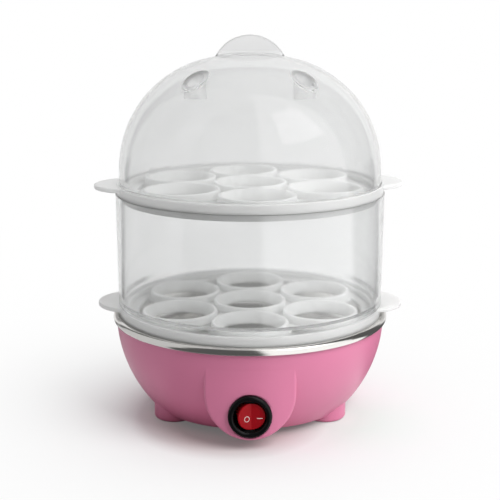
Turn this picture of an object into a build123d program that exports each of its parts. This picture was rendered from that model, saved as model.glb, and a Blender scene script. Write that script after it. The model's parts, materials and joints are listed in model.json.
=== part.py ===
from build123d import *
import os
from math import asin, atan2, cos, degrees, hypot, pi, radians, sin, sqrt, tan

# Two-tier electric egg steamer: moulded base with heater, two egg racks, a clear drum and a dome lid.
# Millimetres. The floor is z = 0, the pot axis is Z, the switch faces -Y and the rack ears lie along X.

# ---------------------------------------------------------------- driving dimensions
# Heights of the stack above the floor
UNDERSIDE_Z = 4.0
TRAY_SEAT_Z = 57.5
DRUM_TOP_Z = 128.0
DOME_SPRING_Z = 139.4
DOME_TOP_Z = 206.4
TAB_TOP_Z = 216.6

# Working allowances: how far a cut runs past a face, a close fit, and when two places count as the same
OVER = 1.0
CLOSE_FIT = 0.05
TOUCH = 0.01

# Bowl-shaped base shell: its side is one arc of revolution
BOWL_ARC_R = 76.9
BOWL_ARC_CENTRE = (1.65, 56.4)
WALL = 2.2
BOWL_CORNER_R = 1.0
FLOOR_Z = UNDERSIDE_Z + WALL

# Round feet
FOOT_X = 43.3
FOOT_Y = 26.5
FOOT_R = 12.0
FOOT_H = 12.0
FOOT_EDGE_R = 2.0
FOOT_RECESS_R = 5.5
FOOT_RECESS_Z = 3.2

# Nose that carries the switch: U outline, face upright at first and then leaning out to meet the bowl
NOSE_FACE_R = 77.4
NOSE_HALF_WIDTH = 24.7
NOSE_CENTRE_Z = 30.0
NOSE_LEAN_Z = 38.2
NOSE_LEAN_R = 80.0
NOSE_TOP_Z = 48.0
NOSE_ROOT_Y = -35.0
NOSE_REACH = 55.0
NOSE_EDGE_R = 1.8
SWITCH_Z = 19.1
SWITCH_LAND_Y = -76.6
LAND_MARGIN = 0.7
CUTOUT_END_Y = -72.0

# Switch housing
BEZEL_R = 11.9
BEZEL_THICK = 2.4
BEZEL_EDGE = 0.8
BEZEL_BULGE = 0.45
BEZEL_CREST_OUT = 0.3
CUTOUT_R = 10.1
HOUSING_R = 9.9
HOUSING_BACK_Y = -57.0
HOUSING_STEP_R = 8.7
HOUSING_STEP_Y = -60.0
WELL_FLOOR_Y = -62.5
TONGUE_INNER = 7.65
TONGUE_ROOT = 0.6
TONGUE_HALF_WIDTH = 2.4
TONGUE_BACK_Y = -70.0
PIVOT_SOCKET_END = 9.0
PIVOT_FIT = 0.06
WING_ROOT = 0.5
WING_PROUD = 1.0
WING_FRONT_Y = -73.6
WING_NOSE = 0.4
WING_BACK_Y = -66.0
WING_WIDE = 5.0

# Rocker
ROCKER_WELL_R = 8.7
ROCKER_R = 7.5
ROCKER_WALL = 1.2
ROCKER_EDGE_R = 0.5
ROCKER_PIVOT_Y = -73.5
ROCKER_VALLEY_Y = -77.2
ROCKER_HOLLOW_FRONT = 1.2
ROCKER_SKIRT = 2.6
ROCKER_TILT = 11.0
TONGUE_CLEAR = 0.35
FLAT_HALF_WIDTH = 3.6
PIVOT_PIN_R = 1.2
PIVOT_PIN_START = 5.6
PIVOT_PIN_END = 8.6

# Plunger and spring in the rocker's guide
GUIDE_R = 2.0
GUIDE_ROOT = 0.2
GUIDE_END_Y = ROCKER_PIVOT_Y + 4.5
PLUNGER_R = 1.4
PLUNGER_REACH = 7.45
SPRING_SEAT_Y = ROCKER_PIVOT_Y + 0.2
SPRING_END_Y = -70.4
SPRING_WIRE_R = 0.18
SPRING_COIL_R = 1.1
SPRING_TURNS = 3

# Switch blades, contacts, lever and lamp
SWITCH_BLADES_X = (-6.0, 0.0, 6.0)
SWITCH_BLADE_END_Y = -49.5
SLOT_CLEAR = 0.03
CONTACT_R = 1.2
CONTACT_H = 0.4
KNIFE_HALF_WIDTH = 1.0
LEVER_PIVOT_Y = -63.85
LEVER_TILT = 7.0
LEVER_HALF_LENGTH = 7.0
LEVER_HALF_WIDTH = 1.8
LEVER_THICK = 0.6
LEVER_RIB_X = 3.2
LEVER_RIB_H = 0.3
LAMP_OFFSET = 3.6
LAMP_Y = -71.6
LAMP_R = 1.2
LAMP_EDGE_R = 0.7
LAMP_LENGTH = 6.4
LAMP_LEG_R = 0.3
LAMP_LEG_INSET = 0.9

# Stainless heating tray with a rolled bead
SHEET = 0.6
SHELL_TOP_Z = TRAY_SEAT_Z - SHEET
BEAD_CENTRE = (78.2, 55.35)
BEAD_R = 2.35
BEAD_END_ANGLE = -55.0
DISH_TOP_R = 75.9
DISH_LIP_R = 0.7
DISH_LIP_H = 1.2
DISH_FLOOR_R = 68.0
DISH_FLOOR_Z = 40.0
DISH_BEND_R = 4.0
TRAY_UNDER_Z = DISH_FLOOR_Z - SHEET

# Heater under the tray
PLATE_R = 46.0
PLATE_THICK = 2.5
PLATE_UNDER_Z = TRAY_UNDER_Z - PLATE_THICK
ELEMENT_RING_R = 34.0
ELEMENT_R = 3.3
ELEMENT_GAP_HALF_ANGLE = 28.0
ELEMENT_BEND = 5.0
ELEMENT_DROP = 5.6
ELEMENT_SEAL_R = 2.9
ELEMENT_SEAL_H = 3.0
ELEMENT_PIN_H = 2.0
ELEMENT_TAB_LENGTH = 8.0

# Egg rack, the same moulding on both tiers; heights from its shoulder
RIM_R = 76.9
LIP_INNER_R = 75.5
RIM_H = 5.6
RIM_EDGE_R = 0.5
GROOVE_Z = 2.6
RIDGE_OUTER_R = 72.8
RIDGE_INNER_R = 71.3
RIDGE_H = 4.2
DECK_Z = 1.2
DECK_UNDER_Z = -0.8
SKIRT_OUTER_R = 74.6
SKIRT_INNER_R = 72.0
SKIRT_DRAFT = 1.1
SKIRT_DEPTH = 3.8
EAR_R = 22.0
EAR_TIP_X = 89.5
EAR_TOP = 5.2
EAR_THICK = 2.5
EAR_EDGE_R = 0.8
CUP_PITCH_R = 46.0
CUP_COUNT = 6
COLLAR_R = 21.5
COLLAR_EDGE = 0.4
COLLAR_TOP_INNER_R = 19.6
CUP_HOLE_R = 16.5
CUP_LAND_H = 0.6
STEAM_OUTER_R = 65.5
STEAM_INNER_R = 48.0
STEAM_HALF_ANGLE = 21.0
STEAM_WEB = 1.1
SMALL_HOLE_R = 2.4
UPPER_RACK_TURN = 5.0

# Drum between the racks
DRUM_R_TOP = 77.5
DRUM_R_FOOT = 77.0
DRUM_WALL = 2.0
SPIGOT_R = 75.15
SPIGOT_INNER_R = 73.2
SPIGOT_DEPTH = 2.8
SPIGOT_TAPER_FOOT = 2.2
SPIGOT_TAPER_TOP = 4.5

# Dome lid
DOME_R = 75.15
DOME_WALL = 2.0
DOME_RISE_POWER = 2.07
DOME_SPREAD_POWER = 2.26
DOME_POINTS = 8
TAB_R = 22.0
TAB_THICK = 3.0
TAB_EDGE_R = 1.1
TAB_ROOT = 12.0
VENT_X = 29.0
VENT_Y = -36.0
VENT_R = 4.5
VENT_WALL = 1.5
VENT_FLOOR_Z = 185.0
VENT_HOLE_R = 1.5
VENT_MOUTH_R = 0.8

# Bottom cover
COVER_R = 31.0
COVER_CLEAR = 0.3
COVER_THICK = 2.0
LEDGE_INNER_R = 24.2
LEDGE_OUTER_R = 33.5
LEDGE_THICK = 2.0
COVER_SCREW_PITCH_R = 27.8
COVER_SCREW_ANGLES = (0, 90, 180, 270)
COVER_BOSS_R = 3.2
COVER_BOSS_TOP_Z = 14.0
VENT_SLOT_PITCH_R = 15.0
VENT_SLOT_LENGTH = 11.0
VENT_SLOT_WIDTH = 2.4
VENT_SLOT_COUNT = 12

# Cord entry at the back
CORD_Z = 18.0
CORD_BORE_R = 3.4
CORD_LAND_Y = 71.5
CORD_BOSS_R = 9.6
CORD_BOSS_ROOT_Y = 50.0
CORD_HOLE_R = 4.9
CORD_FLANGE_R = 7.6
GROMMET_BACK_R = 6.4
GROMMET_BACK_TAPER = 0.4
GROMMET_BACK_THICK = 2.0
GROMMET_FRONT_THICK = 4.0
GROMMET_EDGE = 1.4
GROMMET_NOSE_R = 5.4

# Cord clamp inside the shell
CLAMP_Y = 49.0
CLAMP_SCREW_X = 9.5
CLAMP_POST_R = 3.3
CLAMP_POST_TOP_Z = 20.0
CLAMP_PILOT_FLOOR_Z = FLOOR_Z + 2.0
CLAMP_BAR_THICK = 2.4
CLAMP_BAR_WIDE = 8.0
SADDLE_THICK = 3.0

# Screws and the posts they pull on
TIE_SCREW = {"shank_r": 2.0, "head_r": 4.0, "head_height": 2.4}
TIE_SCREW_END = 1.8
COVER_SCREW = {"shank_r": 1.25, "shank_length": 8.0, "head_r": 2.9, "head_height": 1.9}
CLAMP_SCREW = {"shank_r": 1.25, "shank_length": 9.0, "head_r": 2.8, "head_height": 1.8}
HEAD_ROUND_SHARE = 0.45
RECESS_SPAN_SHARE = 1.1
RECESS_WIDTH_SHARE = 0.28
TIP_SHARE = 0.4
TIE_POST_R = 4.6
TIE_POST_TOP_Z = 27.0
TIE_HOLE_R = 2.1
PILOT_R = 1.3
PILOT_END = 1.0
SCREW_CLEAR_R = 1.6
BRACKET_W = 12.0
BRACKET_T = 1.2
BRACKET_LEG = 7.0
BRACKET_FLANGE = 7.0

# Small heater fittings
STUD_R = 1.5
STUD_LENGTH = 7.5
STUD_CLEAR = 0.2
NUT_ACROSS_FLATS = 5.5
NUT_H = 2.4
THERMOSTAT_R = 8.2
THERMOSTAT_CAP_H = 2.2
THERMOSTAT_CAP_EDGE_R = 0.6
THERMOSTAT_BODY_R = 7.5
THERMOSTAT_EAR_X = 13.0
THERMOSTAT_BLADE_Y = 4.6
THERMOSTAT_BLADE_LENGTH = 8.0
THERMOSTAT_Z = PLATE_UNDER_Z - 7.2
CLAMP_RING_Z = PLATE_UNDER_Z - 3.2
CLAMP_RING_MARGIN = 1.2
CLAMP_EAR_HALF_WIDTH = 3.5
CLIP_SHEET = 1.0
CLIP_HALF_WIDTH = 3.0
FUSE_R = 2.6
FUSE_Y = -20.0
FUSE_LENGTH = 22.0
FUSE_EDGE_R = 0.5
FUSE_FIT = 0.02
FUSE_STUD_Y = -27.5
STUDS = [(-THERMOSTAT_EAR_X, 0), (THERMOSTAT_EAR_X, 0), (0, FUSE_STUD_Y)]
EARTH_GAP = 3.0
EARTH_FOOT_LONG = 9.0
EARTH_FOOT_WIDE = 8.0
EARTH_BLADE_WIDE = 6.3
EARTH_BLADE_LONG = 11.0

# Wiring
WIRE_R = 1.1
BLADE_WIDE = 4.8
BLADE_THIN = 0.8
SLEEVE_WIDE = 7.0
SLEEVE_THIN = 3.6
SLEEVE_LENGTH = 10.5
SLEEVE_GRIP = 6.5
SLEEVE_EDGE_R = 1.2
BLADE_FIT = 0.1
LEAD_ARC_SHARE = 0.45


# ---------------------------------------------------------------- general helpers
def turned(points):
    """Solid of revolution about Z from a closed outline of (r, z) corners."""
    return revolve(Plane.XZ * make_face(Polyline(*points, close=True)), Axis.Z)


def ring(outer_r, inner_r, low_z, high_z):
    """Plain ring or, with inner_r 0, disc between two heights."""
    return turned([(inner_r, low_z), (outer_r, low_z), (outer_r, high_z), (inner_r, high_z)])


def rod_y(radius, y_from, y_to, x=0.0, z=0.0):
    """Round bar along Y."""
    middle = (y_from + y_to) / 2
    return Pos(x, middle, z) * Rot(90, 0, 0) * Cylinder(radius, abs(y_to - y_from))


def rod_x(radius, length, y, z):
    """Round bar along X, centred on x = 0."""
    return Pos(0, y, z) * Rot(0, 90, 0) * Cylinder(radius, length)


def post(radius, low_z, high_z, x=0.0, y=0.0):
    """Upright round bar."""
    return Pos(x, y, (low_z + high_z) / 2) * Cylinder(radius, high_z - low_z)


def block(x, y, z):
    """Box from its low and high value on each axis."""
    size = [high - low for low, high in (x, y, z)]
    centre = [(high + low) / 2 for low, high in (x, y, z)]
    return Pos(*centre) * Box(*size)


def polar(radius, angle):
    """Point at a radius and an angle in degrees."""
    return radius * cos(radians(angle)), radius * sin(radians(angle))


def group(solids):
    """Separate solids kept in one node."""
    return Compound(children=list(solids))


def bowl_radius(z, inset=0.0):
    """Radius of the bowl's side at a height."""
    centre_r, centre_z = BOWL_ARC_CENTRE
    return centre_r + sqrt((BOWL_ARC_R - inset) ** 2 - (centre_z - z) ** 2)


FEET = [(sx * FOOT_X, sy * FOOT_Y) for sx in (-1, 1) for sy in (-1, 1)]


# ---------------------------------------------------------------- base shell
def bowl_body(inset, floor_z, top_z):
    """Solid inside of the bowl's surface, taken in by inset."""
    centre_r, centre_z = BOWL_ARC_CENTRE
    radius = BOWL_ARC_R - inset
    start = (bowl_radius(floor_z, inset), floor_z)
    end = (centre_r + radius, centre_z)
    half = (atan2(floor_z - centre_z, start[0] - centre_r)) / 2
    middle = (centre_r + radius * cos(half), centre_z + radius * sin(half))
    with BuildLine() as outline:
        Line((0, floor_z), start)
        ThreePointArc(start, middle, end)
        Line(end, (end[0], top_z))
        Line((end[0], top_z), (0, top_z))
        Line((0, top_z), (0, floor_z))
    return revolve(Plane.XZ * make_face(outline.line), Axis.Z)


def nose_prism(half_width):
    """U outline of the nose, drawn out forwards from inside the bowl."""
    straight = NOSE_TOP_Z - NOSE_CENTRE_Z
    outline = Pos(0, NOSE_CENTRE_Z) * Circle(half_width)
    outline += Pos(0, NOSE_CENTRE_Z + straight / 2) * Rectangle(2 * half_width, straight)
    return extrude(Plane.XZ.offset(-NOSE_ROOT_Y) * outline, amount=NOSE_REACH)


def rounded_nose():
    """The nose with a round edge: its face is upright at first, then leans out to meet the bowl."""
    lean_start = (NOSE_FACE_R, NOSE_LEAN_Z)
    lean_middle, lean_end = (
        (NOSE_FACE_R + NOSE_LEAN_R - sqrt(NOSE_LEAN_R ** 2 - (z - NOSE_LEAN_Z) ** 2), z)
        for z in ((NOSE_LEAN_Z + NOSE_TOP_Z) / 2, NOSE_TOP_Z)
    )
    with BuildLine() as outline:
        Polyline((0, NOSE_TOP_Z), (0, 0), (NOSE_FACE_R, 0), lean_start)
        ThreePointArc(lean_start, lean_middle, lean_end)
        Line(lean_end, (0, NOSE_TOP_Z))
    nose = nose_prism(NOSE_HALF_WIDTH) & revolve(Plane.XZ * make_face(outline.line), Axis.Z)
    face_edges = [
        edge for edge in nose.edges()
        if all(hypot((edge @ t).X, (edge @ t).Y) > NOSE_FACE_R - TOUCH for t in (0.1, 0.5, 0.9))
        and min(abs((edge @ 0.5).Z - NOSE_TOP_Z), abs((edge @ 0.5).Z - NOSE_LEAN_Z)) > TOUCH
    ]
    return fillet(face_edges, NOSE_EDGE_R)


def make_foot():
    """Round foot with a rounded lower edge, its upper part sunk in the bowl's wall."""
    foot = post(FOOT_R, 0, FOOT_H)
    return fillet(foot.edges().filter_by(GeomType.CIRCLE).sort_by(Axis.Z)[0], FOOT_EDGE_R)


def make_base_shell():
    """Moulded bowl with switch nose, feet, cord boss, screw posts and the ledge for the bottom cover."""
    outer = bowl_body(0, UNDERSIDE_Z, SHELL_TOP_Z)
    corner = [
        edge for edge in outer.edges().filter_by(GeomType.CIRCLE)
        if abs((edge @ 0).Z - UNDERSIDE_Z) < TOUCH
    ]
    outer = fillet(corner, BOWL_CORNER_R)
    outer += rounded_nose()
    foot = make_foot()
    for x, y in FEET:
        outer += Pos(x, y, 0) * foot
    outer += rod_y(CORD_BOSS_R, CORD_BOSS_ROOT_Y, CORD_LAND_Y, z=CORD_Z)

    inner = bowl_body(WALL, FLOOR_Z, SHELL_TOP_Z + OVER)
    inner += nose_prism(NOSE_HALF_WIDTH - WALL) & post(NOSE_FACE_R - WALL, 0, NOSE_TOP_Z)
    inner += rod_y(CORD_BOSS_R - WALL, CORD_BOSS_ROOT_Y - WALL, CORD_LAND_Y - WALL, z=CORD_Z)
    shell = outer - inner

    # ledge ring that the cover is screwed to
    ledge_top = FLOOR_Z + LEDGE_THICK
    cover_top = UNDERSIDE_Z + COVER_THICK
    shell += ring(LEDGE_OUTER_R, LEDGE_INNER_R, cover_top, ledge_top)
    shell -= post(COVER_R + COVER_CLEAR, UNDERSIDE_Z - OVER, cover_top)
    shell -= post(LEDGE_INNER_R, 0, ledge_top + OVER)
    for angle in COVER_SCREW_ANGLES:
        x, y = polar(COVER_SCREW_PITCH_R, angle)
        shell += post(COVER_BOSS_R, cover_top, COVER_BOSS_TOP_Z, x, y)
        shell -= post(PILOT_R, cover_top - OVER, COVER_BOSS_TOP_Z - PILOT_END, x, y)

    # posts for the tie screws, one over each foot
    for x, y in FEET:
        shell += post(TIE_POST_R, FOOT_RECESS_Z, TIE_POST_TOP_Z, x, y)
        shell -= post(FOOT_RECESS_R, -OVER, FOOT_RECESS_Z, x, y)
        shell -= post(TIE_HOLE_R, -OVER, TIE_POST_TOP_Z + OVER, x, y)

    # switch cut-out and its flat land
    shell -= rod_y(BEZEL_R + LAND_MARGIN, SWITCH_LAND_Y - NOSE_EDGE_R, SWITCH_LAND_Y, z=SWITCH_Z)
    shell -= rod_y(CUTOUT_R, SWITCH_LAND_Y - OVER, CUTOUT_END_Y, z=SWITCH_Z)

    # cord land and hole, and the saddle and posts of the cord clamp
    shell -= rod_y(CORD_BOSS_R, CORD_LAND_Y, CORD_LAND_Y + CORD_BOSS_R, z=CORD_Z)
    shell -= rod_y(CORD_HOLE_R, CORD_LAND_Y - WALL - OVER, CORD_LAND_Y + OVER, z=CORD_Z)
    for side in (-1, 1):
        shell += post(CLAMP_POST_R, UNDERSIDE_Z + OVER, CLAMP_POST_TOP_Z, side * CLAMP_SCREW_X, CLAMP_Y)
    saddle_y = (CLAMP_Y - SADDLE_THICK / 2, CLAMP_Y + SADDLE_THICK / 2)
    saddle = block((-CLAMP_SCREW_X, CLAMP_SCREW_X), saddle_y, (UNDERSIDE_Z + OVER, CORD_Z))
    shell += saddle - rod_y(CORD_BORE_R, CLAMP_Y - SADDLE_THICK, CLAMP_Y + SADDLE_THICK, z=CORD_Z)
    for side in (-1, 1):
        shell -= post(PILOT_R, CLAMP_PILOT_FLOOR_Z, CLAMP_POST_TOP_Z + OVER, side * CLAMP_SCREW_X, CLAMP_Y)
    return shell


# ---------------------------------------------------------------- bottom cover and screws
def make_bottom_cover():
    """Disc in the underside with radial vent slots and four screw holes."""
    top = UNDERSIDE_Z + COVER_THICK
    cover = post(COVER_R, UNDERSIDE_Z, top)
    slot = Pos(VENT_SLOT_PITCH_R, 0) * SlotOverall(VENT_SLOT_LENGTH, VENT_SLOT_WIDTH)
    slot = extrude(slot, amount=top + OVER)
    for step in range(VENT_SLOT_COUNT):
        cover -= Rot(0, 0, 360 * (step + 0.5) / VENT_SLOT_COUNT) * slot
    for angle in COVER_SCREW_ANGLES:
        cover -= post(SCREW_CLEAR_R, 0, top + OVER, *polar(COVER_SCREW_PITCH_R, angle))
    return cover


def pan_screw(shank_r, shank_length, head_r, head_height):
    """Cross-head screw with its head below z = 0 and its shank upward."""
    head = post(head_r, -head_height, 0)
    lower_rim = head.edges().filter_by(GeomType.CIRCLE).sort_by(Axis.Z)[0]
    head = fillet(lower_rim, head_height * HEAD_ROUND_SHARE)
    shank = post(shank_r, 0, shank_length)
    tip = shank.edges().filter_by(GeomType.CIRCLE).sort_by(Axis.Z)[-1]
    screw = head + chamfer(tip, shank_r * TIP_SHARE)
    recess = Box(head_r * RECESS_SPAN_SHARE, head_r * RECESS_WIDTH_SHARE, head_height)
    for turn in (0, 90):
        screw -= Pos(0, 0, -head_height) * Rot(0, 0, turn) * recess
    return screw


def make_cover_screws():
    """Four self-tapping screws that hold the bottom cover."""
    screw = pan_screw(**COVER_SCREW)
    return group(
        Pos(*polar(COVER_SCREW_PITCH_R, angle), UNDERSIDE_Z) * screw for angle in COVER_SCREW_ANGLES
    )


def make_tie_screws():
    """Four long screws through the feet into the tray brackets."""
    length = TIE_POST_TOP_Z - FOOT_RECESS_Z + BRACKET_T + TIE_SCREW_END
    screw = pan_screw(shank_length=length, **TIE_SCREW)
    return group(Pos(x, y, FOOT_RECESS_Z) * screw for x, y in FEET)


# ---------------------------------------------------------------- heating tray
def sheet_under(point, before, after):
    """Point on the under face of the sheet below a bend between two directions in degrees."""
    normal = (before + after) / 2 - 90
    shift_r, shift_z = polar(SHEET / cos(radians(after - before) / 2), normal)
    return point[0] + shift_r, point[1] + shift_z


def bead_arc(radius, start_z):
    """Section of the rolled bead at one radius, from a height on its inner side round to its free end."""
    centre_r, centre_z = BEAD_CENTRE
    start = 180 - degrees(asin((start_z - centre_z) / radius))
    points = []
    for angle in (start, (start + BEAD_END_ANGLE) / 2, BEAD_END_ANGLE):
        r, z = polar(radius, angle)
        points.append((centre_r + r, centre_z + z))
    return points


def make_heating_tray():
    """Pressed stainless dish whose edge rolls over the top of the shell."""
    wall_top = (DISH_TOP_R - DISH_LIP_R, TRAY_SEAT_Z - DISH_LIP_H)
    wall_angle = degrees(atan2(wall_top[1] - DISH_FLOOR_Z, wall_top[0] - DISH_FLOOR_R))
    lip_angle = degrees(atan2(DISH_LIP_H, DISH_LIP_R))
    floor_end = (DISH_FLOOR_R, DISH_FLOOR_Z)
    lip_end = (DISH_TOP_R, TRAY_SEAT_Z)
    outer = bead_arc(BEAD_R, TRAY_SEAT_Z)
    inner = bead_arc(BEAD_R - SHEET, TRAY_SEAT_Z - SHEET)
    with BuildLine() as outline:
        Polyline((0, DISH_FLOOR_Z), floor_end, wall_top, lip_end, outer[0])
        ThreePointArc(*outer)
        Line(outer[-1], inner[-1])
        ThreePointArc(*inner[::-1])
        Polyline(
            inner[0], sheet_under(lip_end, lip_angle, 0), sheet_under(wall_top, wall_angle, lip_angle),
            sheet_under(floor_end, 0, wall_angle), (0, TRAY_UNDER_Z), (0, DISH_FLOOR_Z))
    tray = revolve(Plane.XZ * make_face(outline.line), Axis.Z)
    bends = [
        edge for edge in tray.edges().filter_by(GeomType.CIRCLE)
        if min(abs((edge @ 0).Z - DISH_FLOOR_Z), abs((edge @ 0).Z - TRAY_UNDER_Z)) < TOUCH
    ]
    return fillet(bends, DISH_BEND_R)


def make_tray_brackets():
    """Four Z-bent steel brackets, spot-welded under the tray and tapped for the tie screws."""
    brackets = []
    across = (-BRACKET_W / 2, BRACKET_W / 2)
    for x, y in FEET:
        radius = hypot(x, y)
        leg_r = (radius + BRACKET_LEG - BRACKET_T, radius + BRACKET_LEG)
        low_z = (TIE_POST_TOP_Z, TIE_POST_TOP_Z + BRACKET_T)
        top_z = (TRAY_UNDER_Z - BRACKET_T, TRAY_UNDER_Z)
        bracket = block((radius - BRACKET_W / 2, radius + BRACKET_LEG), across, low_z)
        bracket += block(leg_r, across, (TIE_POST_TOP_Z, TRAY_UNDER_Z))
        bracket += block((leg_r[0], leg_r[1] + BRACKET_FLANGE), across, top_z)
        bracket -= post(TIE_SCREW["shank_r"] + CLOSE_FIT, low_z[0] - OVER, low_z[1] + OVER, radius)
        brackets.append(Rot(0, 0, degrees(atan2(y, x))) * bracket)
    return group(brackets)


# ---------------------------------------------------------------- heater
def make_heat_spreader():
    """Aluminium disc brazed under the tray."""
    return post(PLATE_R, PLATE_UNDER_Z, TRAY_UNDER_Z)


def make_heating_element():
    """Sheathed tube bent to an open ring, with both ends turned down to their terminals."""
    z = PLATE_UNDER_Z - ELEMENT_R
    arc = CenterArc(
        (0, 0, z), ELEMENT_RING_R, 90 + ELEMENT_GAP_HALF_ANGLE, 360 - 2 * ELEMENT_GAP_HALF_ANGLE)
    pieces = [arc]
    half_share = sqrt(0.5)
    for position, way in ((0, -1), (1, 1)):
        point = arc @ position
        out = (arc % position) * way
        elbow_middle = Vector(0, 0, -ELEMENT_BEND * (1 - half_share)) + out * ELEMENT_BEND * half_share
        elbow_end = point + out * ELEMENT_BEND + Vector(0, 0, -ELEMENT_BEND)
        pieces.append(ThreePointArc(point, point + elbow_middle, elbow_end))
        pieces.append(Line(elbow_end, elbow_end + Vector(0, 0, ELEMENT_BEND - ELEMENT_DROP)))
    path = Wire([piece.edge() for piece in pieces])
    section = Plane(origin=path @ 0, z_dir=path % 0) * Circle(ELEMENT_R)
    return sweep(section, path=path)


def element_ends():
    """Foot points of the element's two cold ends."""
    points = []
    for side in (-1, 1):
        angle = 90 + side * ELEMENT_GAP_HALF_ANGLE
        x, y = polar(ELEMENT_RING_R, angle)
        out_x, out_y = polar(ELEMENT_BEND, angle - side * 90)
        points.append((x + out_x, y + out_y, PLATE_UNDER_Z - ELEMENT_R - ELEMENT_DROP))
    return points


def make_element_seals():
    """Ceramic beads that close the tube's ends."""
    return group(post(ELEMENT_SEAL_R, z - ELEMENT_SEAL_H, z, x, y) for x, y, z in element_ends())


def tab_height():
    """Middle of the element's flat blades."""
    return element_ends()[0][2] - ELEMENT_SEAL_H - ELEMENT_PIN_H


def make_element_tabs():
    """Blade terminals on the element's cold pins, bent level towards the middle of the base."""
    tabs = []
    half_thin = BLADE_THIN / 2
    middle_z = tab_height()
    blade_z = (middle_z - half_thin, middle_z + half_thin)
    for x, y, z in element_ends():
        across = (x - BLADE_WIDE / 2, x + BLADE_WIDE / 2)
        pin = block(across, (y - half_thin, y + half_thin), (middle_z, z - ELEMENT_SEAL_H))
        tabs.append(pin + block(across, (y - ELEMENT_TAB_LENGTH, y + half_thin), blade_z))
    return group(tabs)


def make_plate_studs():
    """Three threaded studs welded to the aluminium disc."""
    return group(post(STUD_R, PLATE_UNDER_Z - STUD_LENGTH, PLATE_UNDER_Z, x, y) for x, y in STUDS)


def make_thermostat():
    """Bimetal disc thermostat: metal cap against the plate, moulded body and two blades."""
    cap_low = PLATE_UNDER_Z - THERMOSTAT_CAP_H
    cap = post(THERMOSTAT_R, cap_low, PLATE_UNDER_Z)
    cap = fillet(cap.edges().filter_by(GeomType.CIRCLE).sort_by(Axis.Z)[-1], THERMOSTAT_CAP_EDGE_R)
    thermostat = cap + post(THERMOSTAT_BODY_R, THERMOSTAT_Z, cap_low)
    across = (-BLADE_WIDE / 2, BLADE_WIDE / 2)
    for side in (-1, 1):
        y = side * THERMOSTAT_BLADE_Y
        through = (y - BLADE_THIN / 2, y + BLADE_THIN / 2)
        thermostat += block(across, through, (THERMOSTAT_Z - THERMOSTAT_BLADE_LENGTH, THERMOSTAT_Z))
    return thermostat


def make_thermostat_clamp():
    """Flat ring with two ears that presses the thermostat's cap to the plate."""
    high = CLAMP_RING_Z + CLIP_SHEET
    hole_r = THERMOSTAT_BODY_R + CLOSE_FIT
    ear_end = THERMOSTAT_EAR_X + CLAMP_EAR_HALF_WIDTH
    clamp = ring(THERMOSTAT_R + CLAMP_RING_MARGIN, hole_r, CLAMP_RING_Z, high)
    clamp += block((-ear_end, ear_end), (-CLAMP_EAR_HALF_WIDTH, CLAMP_EAR_HALF_WIDTH), (CLAMP_RING_Z, high))
    clamp -= post(hole_r, CLAMP_RING_Z - OVER, high + OVER)
    for side in (-1, 1):
        clamp -= post(STUD_R + STUD_CLEAR, CLAMP_RING_Z - OVER, high + OVER, side * THERMOSTAT_EAR_X)
    return clamp


def make_stud_nuts():
    """Three hexagon nuts on the plate studs."""
    nut = extrude(RegularPolygon(NUT_ACROSS_FLATS / 2, 6, major_radius=False), amount=NUT_H)
    nut -= post(STUD_R + CLOSE_FIT, -OVER, NUT_H + OVER)
    under = (CLAMP_RING_Z, CLAMP_RING_Z, PLATE_UNDER_Z - CLIP_SHEET)
    return group(Pos(x, y, low - NUT_H) * nut for (x, y), low in zip(STUDS, under))


def make_thermal_fuse():
    """Thermal cut-out in a glass-fibre sleeve, lying against the plate."""
    tube = rod_x(FUSE_R, FUSE_LENGTH, FUSE_Y, PLATE_UNDER_Z - FUSE_R)
    return fillet(tube.edges().filter_by(GeomType.CIRCLE), FUSE_EDGE_R)


def make_fuse_clip():
    """Steel clip hooked under the fuse sleeve and held by one stud."""
    z = PLATE_UNDER_Z - FUSE_R
    outer_r = FUSE_R + CLIP_SHEET
    across = (-CLIP_HALF_WIDTH, CLIP_HALF_WIDTH)
    hook = rod_x(outer_r, 2 * CLIP_HALF_WIDTH, FUSE_Y, z)
    hook -= rod_x(FUSE_R + FUSE_FIT, 3 * CLIP_HALF_WIDTH, FUSE_Y, z)
    hook -= block((-2 * CLIP_HALF_WIDTH, 2 * CLIP_HALF_WIDTH), (FUSE_Y - 2 * FUSE_R, FUSE_Y + 2 * FUSE_R),
                  (z, z + 2 * FUSE_R))
    leg_y = FUSE_Y - FUSE_R
    leg = block(across, (leg_y - CLIP_SHEET, leg_y), (z, PLATE_UNDER_Z))
    flange_z = (PLATE_UNDER_Z - CLIP_SHEET, PLATE_UNDER_Z)
    flange = block(across, (FUSE_STUD_Y - CLIP_HALF_WIDTH, leg_y), flange_z)
    flange -= post(STUD_R + STUD_CLEAR, z, PLATE_UNDER_Z + OVER, 0, FUSE_STUD_Y)
    return hook + leg + flange


def make_earth_tab():
    """Earthing blade spot-welded under the tray's floor, outside the aluminium disc."""
    inner = -(PLATE_R + EARTH_GAP)
    half_foot = EARTH_FOOT_WIDE / 2
    half_blade = EARTH_BLADE_WIDE / 2
    foot_z = (TRAY_UNDER_Z - BLADE_THIN, TRAY_UNDER_Z)
    blade_z = (TRAY_UNDER_Z - EARTH_BLADE_LONG, TRAY_UNDER_Z)
    foot = block((inner - EARTH_FOOT_LONG, inner), (-half_foot, half_foot), foot_z)
    return foot + block((inner - BLADE_THIN, inner), (-half_blade, half_blade), blade_z)


# ---------------------------------------------------------------- wiring
def sleeve():
    """Insulated push-on terminal: mouth at z = 0 facing up, broad along X, wire leaving at the bottom."""
    body = Pos(0, 0, -SLEEVE_LENGTH / 2) * Box(SLEEVE_WIDE, SLEEVE_THIN, SLEEVE_LENGTH)
    body = fillet(body.edges().filter_by(Axis.Z), SLEEVE_EDGE_R)
    slot = Box(BLADE_WIDE + BLADE_FIT, BLADE_THIN + BLADE_FIT, SLEEVE_GRIP)
    return body - Pos(0, 0, -SLEEVE_GRIP / 2) * slot


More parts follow.
